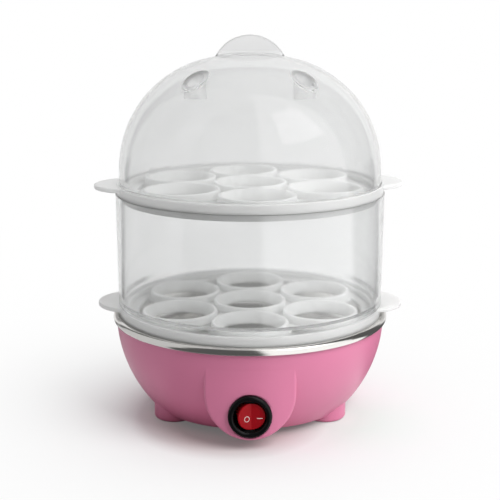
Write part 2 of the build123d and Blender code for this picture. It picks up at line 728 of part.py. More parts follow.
def sleeve_places():
    """Each push-on terminal's mouth and turn, by the blade that it sits on."""
    places = {}
    thermostat_mouth = THERMOSTAT_Z - THERMOSTAT_BLADE_LENGTH + SLEEVE_GRIP
    for name, side in (("thermostat_front", -1), ("thermostat_back", 1)):
        places[name] = Pos(0, side * THERMOSTAT_BLADE_Y, thermostat_mouth)
    for name, (x, y, _) in zip(("element_right", "element_left"), element_ends()):
        places[name] = Pos(x, y - ELEMENT_TAB_LENGTH + SLEEVE_GRIP, tab_height()) * Rot(-90, 0, 0)
    for name, x in (("switch_left", SWITCH_BLADES_X[0]), ("switch_right", SWITCH_BLADES_X[2])):
        places[name] = Pos(x, SWITCH_BLADE_END_Y - SLEEVE_GRIP, SWITCH_Z) * Rot(90, 0, 0) * Rot(0, 0, 90)
    return places


def make_push_on_terminals():
    """Six insulated push-on terminals."""
    return group(place * sleeve() for place in sleeve_places().values())


def wire_exit(name):
    """Point where the wire leaves a push-on terminal."""
    return tuple((sleeve_places()[name] * Pos(0, 0, -SLEEVE_LENGTH)).position)


def lead(points):
    """Insulated wire: straight runs joined by tangent arcs as large as the shorter run allows."""
    corners = [Vector(*point) for point in points]
    radii = []
    for before, corner, after in zip(corners, corners[1:], corners[2:]):
        turn = radians((corner - before).get_angle(after - corner))
        shorter = min((corner - before).length, (after - corner).length)
        radii.append(LEAD_ARC_SHARE * shorter / tan(turn / 2))
    path = FilletPolyline(*points, radius=radii)
    section = Plane(origin=path @ 0, z_dir=path % 0) * Circle(WIRE_R)
    wire = sweep(section, path=path)
    share = wire.volume / (pi * WIRE_R ** 2 * path.length)
    rounded = [round(radius, 1) for radius in radii]
    print(f"lead radii {rounded}, length {path.length:.1f}, volume share {share:.3f}")
    return wire


def make_lead_switch_to_thermostat():
    """Live lead from the switch's contact to the thermostat."""
    return lead([
        wire_exit("switch_left"), (-6, -39.5, SWITCH_Z), (-7, -30.5, 17.2), (-8, -21, 12.6),
        (-5.6, -12.2, 9.9), (-1.6, -6.8, 10.2), (0, -THERMOSTAT_BLADE_Y, 13.2), wire_exit("thermostat_front"),
    ])


def make_lead_thermostat_to_fuse():
    """Lead from the thermostat to the thermal fuse."""
    fuse_z = PLATE_UNDER_Z - FUSE_R
    return lead([
        wire_exit("thermostat_back"), (0, THERMOSTAT_BLADE_Y, 13.2), (2.1, 6.6, 10.1), (8, 6.4, 9.6),
        (15.5, 1.5, 11.4), (20.5, -6.5, 17), (22, -13.5, 24.5), (20.6, -18.6, 31), (16.6, FUSE_Y, fuse_z),
        (FUSE_LENGTH / 2, FUSE_Y, fuse_z),
    ])


def make_lead_fuse_to_element():
    """Lead from the thermal fuse to the left terminal of the element."""
    fuse_z = PLATE_UNDER_Z - FUSE_R
    end = wire_exit("element_left")
    return lead([
        (-FUSE_LENGTH / 2, FUSE_Y, fuse_z), (-16.6, FUSE_Y, fuse_z), (-20.6, -18.2, 31.2), (-22.4, -12, 25),
        (-21.8, -4.2, 18.6), (-19.2, 3.8, 15.2), (-14.6, 9.8, 18.6), (end[0], end[1] - 5.6, end[2]), end,
    ])


def make_lead_element_to_switch():
    """Neutral lead from the right terminal of the element to the lamp blade of the switch."""
    end = wire_exit("element_right")
    return lead([
        wire_exit("switch_right"), (6, -39.5, SWITCH_Z), (8.4, -30.6, 17.4), (13, -22, 13.2),
        (17.8, -13.2, 10.6), (20.6, -3.4, 10.6), (19.4, 5.2, 14), (14.8, 10.4, 18.6),
        (end[0], end[1] - 5.6, end[2]), end,
    ])


# ---------------------------------------------------------------- cord entry
def make_cord_grommet():
    """Snap-in bush for the supply cord, with a flange on each side of the wall."""
    wall_in = CORD_LAND_Y - WALL
    neck_r = CORD_HOLE_R - CLOSE_FIT
    back = wall_in - GROMMET_BACK_THICK
    front = CORD_LAND_Y + GROMMET_FRONT_THICK
    outline = [
        (CORD_BORE_R, back), (GROMMET_BACK_R - GROMMET_BACK_TAPER, back), (GROMMET_BACK_R, wall_in),
        (neck_r, wall_in), (neck_r, CORD_LAND_Y), (CORD_FLANGE_R, CORD_LAND_Y),
        (CORD_FLANGE_R, CORD_LAND_Y + GROMMET_EDGE), (GROMMET_NOSE_R, front), (CORD_BORE_R, front),
    ]
    # the outline is turned about Z, then laid along Y
    return Pos(0, 0, CORD_Z) * Rot(-90, 0, 0) * turned(outline)


def make_cord_clamp():
    """Arched bar that presses the cord on its saddle."""
    low = CLAMP_POST_TOP_Z
    high = low + CLAMP_BAR_THICK
    ends = CLAMP_SCREW_X + CLAMP_BAR_WIDE / 2
    near, far = CLAMP_Y - CLAMP_BAR_WIDE / 2, CLAMP_Y + CLAMP_BAR_WIDE / 2
    bar = block((-ends, ends), (near, far), (low, high))
    bar += rod_y(CORD_BORE_R + CLAMP_BAR_THICK, near, far, z=CORD_Z)
    bar -= rod_y(CORD_BORE_R, near - OVER, far + OVER, z=CORD_Z)
    bar -= block((-ends, ends), (near - OVER, far + OVER), (0, low))
    for side in (-1, 1):
        bar -= post(SCREW_CLEAR_R, low - OVER, high + OVER, side * CLAMP_SCREW_X, CLAMP_Y)
    return bar


def make_clamp_screws():
    """Two screws down into the clamp posts."""
    screw = pan_screw(**CLAMP_SCREW)
    top = CLAMP_POST_TOP_Z + CLAMP_BAR_THICK
    return group(Pos(side * CLAMP_SCREW_X, CLAMP_Y, top) * Rot(180, 0, 0) * screw for side in (-1, 1))


# ---------------------------------------------------------------- switch
def switch_span(side, near, far):
    """Heights of a stretch above (side 1) or below (side -1) the switch's axis."""
    return sorted((SWITCH_Z + side * near, SWITCH_Z + side * far))


def make_switch_housing():
    """Round rocker switch body: rounded bezel, well, pivot sockets, snap wings and back wall."""
    front = SWITCH_LAND_Y - BEZEL_THICK
    edge_y = SWITCH_LAND_Y - BEZEL_EDGE
    crest_r = (BEZEL_R + ROCKER_WELL_R) / 2 + BEZEL_CREST_OUT
    well_edge = (ROCKER_WELL_R, edge_y)
    with BuildLine() as outline:
        Line((ROCKER_WELL_R, WELL_FLOOR_Y), well_edge)
        ThreePointArc(well_edge, (ROCKER_WELL_R + BEZEL_BULGE, front + BEZEL_BULGE), (crest_r, front))
        ThreePointArc((crest_r, front), (BEZEL_R - BEZEL_BULGE, front + BEZEL_BULGE), (BEZEL_R, edge_y))
        Polyline(
            (BEZEL_R, edge_y), (BEZEL_R, SWITCH_LAND_Y), (HOUSING_R, SWITCH_LAND_Y),
            (HOUSING_R, HOUSING_STEP_Y), (HOUSING_STEP_R, HOUSING_STEP_Y), (HOUSING_STEP_R, HOUSING_BACK_Y),
            (0, HOUSING_BACK_Y), (0, WELL_FLOOR_Y), (ROCKER_WELL_R, WELL_FLOOR_Y),
        )
    housing = Pos(0, 0, SWITCH_Z) * revolve(make_face(outline.line), Axis.Y)

    # inward tongues that carry the rocker's pins
    across = (-TONGUE_HALF_WIDTH, TONGUE_HALF_WIDTH)
    for side in (-1, 1):
        tongue_z = switch_span(side, TONGUE_INNER, ROCKER_WELL_R + TONGUE_ROOT)
        housing += block(across, (edge_y, TONGUE_BACK_Y), tongue_z)
        low, high = switch_span(side, TONGUE_INNER - OVER, PIVOT_SOCKET_END)
        housing -= post(PIVOT_PIN_R + PIVOT_FIT, low, high, 0, ROCKER_PIVOT_Y)

    # wedge-shaped snap wings behind the panel, and slots for the blades
    for side in (-1, 1):
        root_x = side * (HOUSING_R - WING_ROOT)
        wing = make_face(Polyline(
            (root_x, WING_FRONT_Y - WING_NOSE), (side * (HOUSING_R + WING_PROUD), WING_FRONT_Y),
            (root_x, WING_BACK_Y), close=True))
        housing += Pos(0, 0, SWITCH_Z - WING_WIDE / 2) * extrude(wing, amount=WING_WIDE)
    for x in SWITCH_BLADES_X:
        housing -= switch_blade(x, clearance=SLOT_CLEAR)
    return housing


def switch_blade(x, clearance=0.0):
    """Blade through the switch's back wall, broad along Z."""
    half_thin = BLADE_THIN / 2 + clearance
    half_wide = BLADE_WIDE / 2 + clearance
    return block(
        (x - half_thin, x + half_thin), (WELL_FLOOR_Y, SWITCH_BLADE_END_Y),
        (SWITCH_Z - half_wide, SWITCH_Z + half_wide))


def make_switch_terminals():
    """Three blades: fixed contact, see-saw fulcrum and lamp tail."""
    left, centre, right = (switch_blade(x) for x in SWITCH_BLADES_X)
    rivet_y = WELL_FLOOR_Y - CONTACT_H
    left += rod_y(CONTACT_R, rivet_y, WELL_FLOOR_Y, SWITCH_BLADES_X[0], SWITCH_Z)
    knife = make_face(Polyline(
        (-KNIFE_HALF_WIDTH, WELL_FLOOR_Y), (KNIFE_HALF_WIDTH, WELL_FLOOR_Y), (0, LEVER_PIVOT_Y), close=True))
    centre += Pos(0, 0, SWITCH_Z - LEVER_HALF_WIDTH) * extrude(knife, amount=2 * LEVER_HALF_WIDTH)
    right += rod_y(CONTACT_R / 2, rivet_y, WELL_FLOOR_Y, SWITCH_BLADES_X[2], SWITCH_Z)
    return group([left, centre, right])


def make_switch_lamp():
    """Neon indicator lamp lying in the rocker's hollow, on two stiff legs from the back wall."""
    z = SWITCH_Z + LAMP_OFFSET
    bulb = rod_x(LAMP_R, LAMP_LENGTH, LAMP_Y, z)
    bulb = fillet(bulb.edges().filter_by(GeomType.CIRCLE), LAMP_EDGE_R)
    for side in (-1, 1):
        bulb += rod_y(LAMP_LEG_R, LAMP_Y, WELL_FLOOR_Y, side * (LAMP_LENGTH / 2 - LAMP_LEG_INSET), z)
    return bulb


def turn_rocker(shape):
    """Turn about the rocker's pivot from level to ON."""
    return Pos(0, ROCKER_PIVOT_Y, 0) * Rot(0, 0, ROCKER_TILT) * Pos(0, -ROCKER_PIVOT_Y, 0) * shape


def make_rocker_button():
    """Rocker in its ON position: round button with a shallow V face, skirt, pins and plunger guide."""
    skirt_end = ROCKER_PIVOT_Y + ROCKER_SKIRT
    inner_face = ROCKER_PIVOT_Y - ROCKER_HOLLOW_FRONT
    reach = ROCKER_R + 2 * ROCKER_EDGE_R
    rise = tan(radians(ROCKER_TILT)) * reach
    far_y = ROCKER_VALLEY_Y - reach
    body = rod_y(ROCKER_R, skirt_end, ROCKER_VALLEY_Y - reach / 2, z=SWITCH_Z)
    # two flat halves that rise outwards from the centre line
    waste = make_face(Polyline(
        (0, ROCKER_VALLEY_Y), (reach, ROCKER_VALLEY_Y - rise), (reach, far_y), (-reach, far_y),
        (-reach, ROCKER_VALLEY_Y - rise), close=True))
    body -= Pos(0, 0, SWITCH_Z - reach) * extrude(waste, amount=2 * reach)
    lip = [edge for edge in body.edges() if (edge @ 0.5).Y < ROCKER_VALLEY_Y - TOUCH]
    body = fillet(lip, ROCKER_EDGE_R)
    body -= rod_y(ROCKER_R - ROCKER_WALL, inner_face, skirt_end + OVER, z=SWITCH_Z)
    # flats where the housing's tongues pass, and the pins
    across = (-FLAT_HALF_WIDTH, FLAT_HALF_WIDTH)
    for side in (-1, 1):
        flat_z = switch_span(side, TONGUE_INNER - TONGUE_CLEAR, ROCKER_R + OVER)
        body -= block(across, (far_y, skirt_end + OVER), flat_z)
        low, high = switch_span(side, PIVOT_PIN_START, PIVOT_PIN_END)
        body += post(PIVOT_PIN_R, low, high, 0, ROCKER_PIVOT_Y)
    # tube that guides the plunger
    body += rod_y(GUIDE_R, inner_face - GUIDE_ROOT, GUIDE_END_Y, z=SWITCH_Z)
    body -= rod_y(PLUNGER_R + CLOSE_FIT, SPRING_SEAT_Y, GUIDE_END_Y + OVER, z=SWITCH_Z)
    return turn_rocker(body)


def make_switch_plunger():
    """Brass plunger that slides in the rocker's guide and presses the contact lever."""
    tip_centre = ROCKER_PIVOT_Y + PLUNGER_REACH
    pin = rod_y(PLUNGER_R, SPRING_END_Y, tip_centre, z=SWITCH_Z)
    return turn_rocker(pin + Pos(0, tip_centre, SWITCH_Z) * Sphere(PLUNGER_R))


def make_switch_spring():
    """Coil spring behind the plunger."""
    start = SPRING_SEAT_Y + SPRING_WIRE_R
    height = SPRING_END_Y - SPRING_WIRE_R - start
    coil = Helix(pitch=height / SPRING_TURNS, height=height, radius=SPRING_COIL_R)
    section = Plane(origin=coil @ 0, z_dir=coil % 0) * Circle(SPRING_WIRE_R)
    spring = sweep(section, path=coil, is_frenet=True)
    return turn_rocker(Pos(0, start, SWITCH_Z) * Rot(-90, 0, 0) * spring)


def make_contact_lever():
    """Copper strip that see-saws on the centre blade under the plunger, in its closed position."""
    across = (-LEVER_HALF_WIDTH, LEVER_HALF_WIDTH)
    strip = block((-LEVER_HALF_LENGTH, LEVER_HALF_LENGTH), (-LEVER_THICK, 0), across)
    # two low ribs between which the plunger's tip rolls
    for side in (-1, 1):
        x = side * LEVER_RIB_X
        strip += block((x - LEVER_THICK / 2, x + LEVER_THICK / 2), (-LEVER_THICK - LEVER_RIB_H, 0), across)
    return Pos(0, LEVER_PIVOT_Y, SWITCH_Z) * Rot(0, 0, -LEVER_TILT) * strip


# ---------------------------------------------------------------- racks
def make_rack():
    """Moulded egg rack with its shoulder at z = 0: grooved rim, skirt, ears, egg cups and steam windows."""
    rim = turned([
        (0, DECK_UNDER_Z), (SKIRT_INNER_R, DECK_UNDER_Z), (SKIRT_INNER_R, -SKIRT_DEPTH),
        (SKIRT_OUTER_R - SKIRT_DRAFT, -SKIRT_DEPTH), (SKIRT_OUTER_R, 0), (RIM_R, 0), (RIM_R, RIM_H),
        (LIP_INNER_R, RIM_H), (LIP_INNER_R, GROOVE_Z), (RIDGE_OUTER_R, GROOVE_Z), (RIDGE_OUTER_R, RIDGE_H),
        (RIDGE_INNER_R, RIDGE_H), (RIDGE_INNER_R, DECK_Z), (0, DECK_Z),
    ])
    top_edges = [
        edge for edge in rim.edges().filter_by(GeomType.CIRCLE)
        if min(abs((edge @ 0).Z - RIM_H), abs((edge @ 0).Z - RIDGE_H)) < TOUCH
    ]
    rim = fillet(top_edges, RIM_EDGE_R)

    # ears: round tabs that overlap the rim
    for side in (-1, 1):
        ear = post(EAR_R, EAR_TOP - EAR_THICK, EAR_TOP, side * (EAR_TIP_X - EAR_R))
        ear = fillet(ear.edges().filter_by(GeomType.CIRCLE), EAR_EDGE_R)
        rim += ear - post((RIM_R + LIP_INNER_R) / 2, 0, RIM_H)

    # seven cups: raised collar with a tapered seat
    cups = [(0.0, 0.0)] + [polar(CUP_PITCH_R, 30 + 60 * step) for step in range(CUP_COUNT)]
    collar = turned([
        (0, DECK_Z), (COLLAR_R, DECK_Z), (COLLAR_R - COLLAR_EDGE, RIM_H - COLLAR_EDGE),
        (COLLAR_R - 2 * COLLAR_EDGE, RIM_H), (0, RIM_H),
    ])
    seat = turned([
        (0, DECK_UNDER_Z - OVER), (CUP_HOLE_R, DECK_UNDER_Z - OVER), (CUP_HOLE_R, DECK_UNDER_Z + CUP_LAND_H),
        (COLLAR_TOP_INNER_R, RIM_H), (COLLAR_TOP_INNER_R, RIM_H + OVER), (0, RIM_H + OVER),
    ])
    for x, y in cups:
        rim += Pos(x, y, 0) * collar
    for x, y in cups:
        rim -= Pos(x, y, 0) * seat

    # steam windows between neighbouring cups, and a small hole inside each
    window = steam_window()
    for step in range(CUP_COUNT):
        rim -= Rot(0, 0, 60 * step) * window
        x, y = polar(CUP_PITCH_R / sqrt(3), 60 * step)
        rim -= post(SMALL_HOLE_R, DECK_UNDER_Z - OVER, DECK_Z + OVER, x, y)
    return rim


def steam_window():
    """Three-sided window between the rim and two neighbouring cups, at angle 0."""
    low, high = DECK_UNDER_Z - OVER, DECK_Z + OVER
    wedge_y = STEAM_OUTER_R * tan(radians(STEAM_HALF_ANGLE))
    wedge = make_face(Polyline(
        (0, 0), (STEAM_OUTER_R, -wedge_y), (2 * STEAM_OUTER_R, 0), (STEAM_OUTER_R, wedge_y), close=True))
    window = ring(STEAM_OUTER_R, STEAM_INNER_R, low, high)
    window &= Pos(0, 0, low) * extrude(wedge, amount=high - low)
    for side in (-1, 1):
        window -= post(COLLAR_R + STEAM_WEB, low, high, *polar(CUP_PITCH_R, side * 30))
    return window


def make_lower_rack():
    """Rack that stands on the heating tray."""
    return Pos(0, 0, TRAY_SEAT_Z) * make_rack()


def make_upper_rack():
    """Rack that stands on the drum, turned a little as it was put down."""
    return Pos(0, 0, DRUM_TOP_Z) * Rot(0, 0, UPPER_RACK_TURN) * make_rack()


# ---------------------------------------------------------------- drum and dome
def make_drum():
    """Clear tier wall: it stands on the rack's lip and a spigot drops into the rack's groove."""
    foot_z = TRAY_SEAT_Z + RIM_H
    return turned([
        (SPIGOT_INNER_R, foot_z - SPIGOT_DEPTH), (SPIGOT_R, foot_z - SPIGOT_DEPTH), (SPIGOT_R, foot_z),
        (DRUM_R_FOOT, foot_z), (DRUM_R_TOP, DRUM_TOP_Z), (DRUM_R_TOP - DRUM_WALL, DRUM_TOP_Z),
        (DRUM_R_FOOT - DRUM_WALL, foot_z + SPIGOT_TAPER_TOP), (SPIGOT_INNER_R, foot_z + SPIGOT_TAPER_FOOT),
    ])


def dome_body(inset):
    """Solid dome, taken in by inset: r falls with height by a squashed super-ellipse."""
    radius = DOME_R - inset
    rise = DOME_TOP_Z - DOME_SPRING_Z - inset
    points = []
    for step in range(DOME_POINTS + 1):
        # even steps of angle put more points near the crown
        share = sin(radians(90 * step / DOME_POINTS))
        spread = (1 - share ** DOME_RISE_POWER) ** (1 / DOME_SPREAD_POWER)
        points.append((radius * spread, DOME_SPRING_Z + rise * share))
    seat_z = DRUM_TOP_Z + GROOVE_Z
    with BuildLine() as outline:
        Spline(*points, tangents=[(0, 1), (-1, 0)])
        Line((0, points[-1][1]), (0, seat_z))
        Line((0, seat_z), (radius, seat_z))
        Line((radius, seat_z), points[0])
    return revolve(Plane.XZ * make_face(outline.line), Axis.Z)


def make_lid():
    """Clear dome with a fin handle and two steam wells sunk in its front shoulder."""
    outer = dome_body(0)
    hollow = dome_body(DOME_WALL)
    seat_z = DRUM_TOP_Z + GROOVE_Z
    lid = outer - hollow
    lid -= post(DOME_R - DOME_WALL, seat_z - OVER, seat_z + OVER)

    fin = rod_y(TAB_R, -TAB_THICK / 2, TAB_THICK / 2, z=TAB_TOP_Z - TAB_R)
    fin = fillet(fin.edges().filter_by(GeomType.CIRCLE), TAB_EDGE_R)
    fin -= hollow
    lid += fin - block((-TAB_R, TAB_R), (-TAB_THICK, TAB_THICK), (0, DOME_TOP_Z - TAB_ROOT))

    for side in (-1, 1):
        x = side * VENT_X
        tube = post(VENT_R + VENT_WALL, VENT_FLOOR_Z - VENT_WALL, DOME_TOP_Z, x, VENT_Y)
        lid += tube & outer
        lid -= post(VENT_R, VENT_FLOOR_Z, DOME_TOP_Z + OVER, x, VENT_Y)
        lid -= post(VENT_HOLE_R, VENT_FLOOR_Z - 2 * VENT_WALL, DOME_TOP_Z, x, VENT_Y)
        # the well's wall ends in one curved edge, where it meets the dome
        mouth = [
            edge for edge in lid.edges()
            if abs(hypot((edge @ 0.5).X - x, (edge @ 0.5).Y - VENT_Y) - VENT_R) < TOUCH
            and (edge @ 0.5).Z > VENT_FLOOR_Z + OVER and edge.geom_type != GeomType.LINE
        ]
        lid = fillet(mouth, VENT_MOUTH_R)
    return lid


# ---------------------------------------------------------------- write every node
NODES = {
    "base_shell": make_base_shell,
    "bottom_cover": make_bottom_cover,
    "cover_screws": make_cover_screws,
    "tie_screws": make_tie_screws,
    "heating_tray": make_heating_tray,
    "tray_brackets": make_tray_brackets,
    "heat_spreader": make_heat_spreader,
    "heating_element": make_heating_element,
    "element_seals": make_element_seals,
    "element_tabs": make_element_tabs,
    "plate_studs": make_plate_studs,
    "thermostat": make_thermostat,
    "thermostat_clamp": make_thermostat_clamp,
    "stud_nuts": make_stud_nuts,
    "thermal_fuse": make_thermal_fuse,
    "fuse_clip": make_fuse_clip,
    "earth_tab": make_earth_tab,
    "push_on_terminals": make_push_on_terminals,
    "lead_switch_to_thermostat": make_lead_switch_to_thermostat,
    "lead_thermostat_to_fuse": make_lead_thermostat_to_fuse,
    "lead_fuse_to_element": make_lead_fuse_to_element,
    "lead_element_to_switch": make_lead_element_to_switch,
    "cord_grommet": make_cord_grommet,
    "cord_clamp": make_cord_clamp,
    "clamp_screws": make_clamp_screws,
    "switch_housing": make_switch_housing,
    "switch_terminals": make_switch_terminals,
    "switch_lamp": make_switch_lamp,
    "rocker_button": make_rocker_button,
    "switch_plunger": make_switch_plunger,
    "switch_spring": make_switch_spring,
    "contact_lever": make_contact_lever,
    "lower_rack": make_lower_rack,
    "drum": make_drum,
    "upper_rack": make_upper_rack,
    "lid": make_lid,
}


def main():
    """Build and write each node."""
    os.makedirs("parts", exist_ok=True)
    for name, make in NODES.items():
        shape = make()
        export_step(shape, f"parts/{name}.step")


main()
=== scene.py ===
import json
from math import cos, pi, radians, sin

import bmesh
import bpy
from mathutils import Matrix, Vector


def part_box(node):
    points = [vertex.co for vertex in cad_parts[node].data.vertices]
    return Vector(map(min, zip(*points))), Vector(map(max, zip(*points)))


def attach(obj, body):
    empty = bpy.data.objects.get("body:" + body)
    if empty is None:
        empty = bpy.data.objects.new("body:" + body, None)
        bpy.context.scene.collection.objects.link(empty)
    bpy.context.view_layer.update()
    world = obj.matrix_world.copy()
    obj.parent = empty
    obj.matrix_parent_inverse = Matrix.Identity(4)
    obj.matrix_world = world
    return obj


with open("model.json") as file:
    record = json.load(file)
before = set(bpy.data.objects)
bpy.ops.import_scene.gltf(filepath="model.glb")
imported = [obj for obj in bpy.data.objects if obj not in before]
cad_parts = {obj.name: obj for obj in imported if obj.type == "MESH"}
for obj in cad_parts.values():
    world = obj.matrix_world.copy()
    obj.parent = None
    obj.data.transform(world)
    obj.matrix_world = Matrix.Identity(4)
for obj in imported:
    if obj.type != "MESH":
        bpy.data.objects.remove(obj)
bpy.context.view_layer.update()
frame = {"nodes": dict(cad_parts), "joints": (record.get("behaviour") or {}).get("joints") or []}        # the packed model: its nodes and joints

bl_info = {
    "name": "Two-Tier Egg Steamer",
    "version": (1, 0, 0),
    "blender": (4, 5, 0),
    "location": "3D View > Sidebar > Egg Steamer",
    "description": "Dresses the packed egg steamer with its finishes and small details, and lights it",
    "category": "Object",
}

MM = 0.001

# The lid's frosted fin starts on the crown of the dome
FIN_ROOT_Z = 206.6 * MM
FIN_FADE = 1.5 * MM

# The lid's two steam wells, each the other's mirror in X: centre, radius and the height of their floor
WELL_CENTRE = (29.0 * MM, -36.0 * MM, 0.0)
WELL_R = 6.4 * MM
WELL_FADE = 1.0 * MM
WELL_LOW_Z = 181.0 * MM

# How high the rubbed foot of the drum and of the lid reaches
FOOT_HAZE_HEIGHT = 5.0 * MM

# The rocker's form, as the source has it
ROCKER_TILT = 11.0
VALLEY_DEPTH = 3.7 * MM

# The marks on the rocker: how far they stand proud and reach in, their centres on each half, and the share of
# their width that is flat on top
MARK_PROUD = 0.05 * MM
MARK_SUNK = 0.12 * MM
MARK_SHOULDER = 0.4 * MARK_PROUD
RING_CENTRE = (2.5 * MM, -1.1 * MM)
RING_STEPS = 48
RING_FLAT = 0.6
DASH_CENTRE = (4.5 * MM, -0.95 * MM)
DASH_END_STEPS = 12
DASH_FLAT = 0.86

# The floor and its zones, each by the distance from a centre: the painted contact shadow right under the pot,
# the painted shade beside the bowl's lit side, tinted to take out the pink that the bowl throws there, and
# the fade of the lit colour to the background's white. Further off, gloss sees the walls' brightness in it.
FLOOR_R = 6.0
FLOOR_SEGMENTS = 128
FLOOR_DROP = 0.05 * MM
PAINTED_CONTACT_SHADOW_CENTRE = (-0.012, -0.035, 0.0)
PAINTED_CONTACT_SHADOW = (0.030, 0.056)
PAINTED_SIDE_SHADE_CENTRE = (0.062, -0.035, 0.0)
PAINTED_SIDE_SHADE = (0.015, 0.050)
FLOOR_SHADOW_CENTRE = (0.0, -0.020, 0.0)
FLOOR_SHADOW_R = 0.064
FLOOR_SHADOW_FADE = 0.046
FLOOR_GLOSS_FADE = (0.066, 0.095)

# What gloss sees round the pot: azimuth to the right of the camera, half width and brightness
WALL_BRIGHTNESS = 0.12
BRIGHT_WALLS = ((50, 36, 1.35), (-90, 32, 0.72))
WALL_EDGE = 9
CEILING_ELEVATION = (55, 80)
CEILING_BRIGHTNESS = 0.6
BACKDROP_COSINE = (0.66, 0.74)
BACKDROP_BRIGHTNESS = 0.95
WINDOW_AZIMUTH = 55
WINDOW_ELEVATION = 47
WINDOW_HALF_WIDTH = 20
WINDOW_HALF_HEIGHT = 13
WINDOW_EDGE = 5
WINDOW_BRIGHTNESS = 1.7

SENSOR_WIDTH = 36.0
CLIP_START = 0.01

# Wear and dust: the cosines, slopes and noise levels between which each mask rises from none to full
EDGE_COSINE = (0.995, 0.80)
EDGE_NOISE = (0.38, 0.62)
EDGE_LEAST = 0.25
RUB_WHITENING = 0.4
RUB_BRIGHTENING = 1.2
DUST_SLOPE = (0.2, 0.95)
DUST_PATCH_SCALE = 45.0
DUST_PATCH_NOISE = (0.35, 0.70)
DUST_SPECK_NOISE = (0.55, 0.72)
DUST_COLOR = (0.75, 0.73, 0.70, 1.0)
DUST_ROUGHNESS = 0.3
CLEAR_DUST_COLOR = (0.9, 0.9, 0.9, 1.0)

# Mottling of plastic and of plated sheet
SMUDGE_SCALE = 5.0
CLOUD_SCALE = 0.4
SPANGLE_NOISE = (0.2, 0.8)
SPANGLE_SHADE = (0.86, 1.06)

# Heat tint of the tray
STRAW_COLOR = (0.72, 0.66, 0.55, 1.0)
STRAW_SCALE = 38.0
STRAW_NOISE = (0.35, 0.70)
STRAW_AMOUNT = 0.12

# Weave of the fuse's sleeve
WEAVE_ANGLE = radians(45)
WEAVE_SCALE = 420.0
WEAVE_DISTORTION = 0.6
WEAVE_SHADE = 0.7

# Colours of the small fittings
THERMOSET = (0.035, 0.033, 0.032)
CERAMIC = (0.85, 0.82, 0.75)
GLASS_FIBRE = (0.84, 0.82, 0.76)
NYLON = (0.78, 0.78, 0.72)
SOFT_BUSH = (0.022, 0.022, 0.023)
WHITE_LEAD = (0.78, 0.77, 0.73)
BROWN_LEAD = (0.16, 0.065, 0.030)
BLUE_LEAD = (0.035, 0.13, 0.42)
LAMP_SKIN = (0.98, 0.82, 0.72, 1.0)
NEON_GLOW = (1.0, 0.35, 0.10, 1.0)


# ---------------------------------------------------------------- settings
class MouldingSettings(bpy.types.PropertyGroup):
    """Colours and gloss of the opaque mouldings."""

    bowl_color: bpy.props.FloatVectorProperty(
        name="Bowl colour", description="Colour of the pink base moulding",
        subtype="COLOR", size=3, min=0, max=1, default=(0.675, 0.200, 0.345))
    bowl_roughness: bpy.props.FloatProperty(
        name="Bowl roughness", description="Roughness of the pink base moulding",
        subtype="FACTOR", min=0, max=1, default=0.36)
    rack_color: bpy.props.FloatVectorProperty(
        name="Rack colour", description="Colour of the milky egg racks",
        subtype="COLOR", size=3, min=0, max=1, default=(0.715, 0.72, 0.712))
    rack_roughness: bpy.props.FloatProperty(
        name="Rack roughness", description="Roughness of the egg racks",
        subtype="FACTOR", min=0, max=1, default=0.33)
    plain_color: bpy.props.FloatVectorProperty(
        name="Plain moulding colour", description="Colour of the bottom cover and the cord clamp",
        subtype="COLOR", size=3, min=0, max=1, default=(0.78, 0.78, 0.76))


class ClearSettings(bpy.types.PropertyGroup):
    """Look of the clear drum and dome."""

    drum_tint: bpy.props.FloatVectorProperty(
        name="Drum tint", description="Tint of the clear drum",
        subtype="COLOR", size=3, min=0, max=1, default=(0.955, 0.96, 0.96))
    lid_tint: bpy.props.FloatVectorProperty(
        name="Lid tint", description="Tint of the clear lid",
        subtype="COLOR", size=3, min=0, max=1, default=(0.902, 0.905, 0.905))
    fin_tint: bpy.props.FloatVectorProperty(
        name="Fin tint", description="Tint of the lid's fin handle",
        subtype="COLOR", size=3, min=0, max=1, default=(0.87, 0.87, 0.87))
    well_tint: bpy.props.FloatVectorProperty(
        name="Well tint", description="Tint of the lid's two steam wells",
        subtype="COLOR", size=3, min=0, max=1, default=(0.99, 0.99, 0.99))
    shadow_tint: bpy.props.FloatVectorProperty(
        name="Shadow tint", description="Share of a lamp's light that gets through one face of the moulding",
        subtype="COLOR", size=3, min=0, max=1, default=(0.93, 0.93, 0.93))
    roughness: bpy.props.FloatProperty(
        name="Haze", description="Roughness of the clear moulding's skin",
        subtype="FACTOR", min=0, max=1, default=0.07)
    transmission: bpy.props.FloatProperty(
        name="Clearness", description="Share of the light that goes through and isn't scattered back",
        subtype="FACTOR", min=0, max=1, default=0.90)
    fin_haze: bpy.props.FloatProperty(
        name="Fin haze", description="Roughness that the frosted fin handle has on top of the skin's",
        subtype="FACTOR", min=0, max=1, default=0.45)
    well_haze: bpy.props.FloatProperty(
        name="Well haze", description="Roughness that the two steam wells have on top of the skin's",
        subtype="FACTOR", min=0, max=1, default=0.8)
    foot_haze: bpy.props.FloatProperty(
        name="Foot haze", description="Roughness that the rubbed foot of the drum and of the lid has on top",
        subtype="FACTOR", min=0, max=1, default=0.6)
    ior: bpy.props.FloatProperty(
        name="Index of refraction", description="Index of refraction of the clear moulding",
        min=1, max=2, default=1.46)


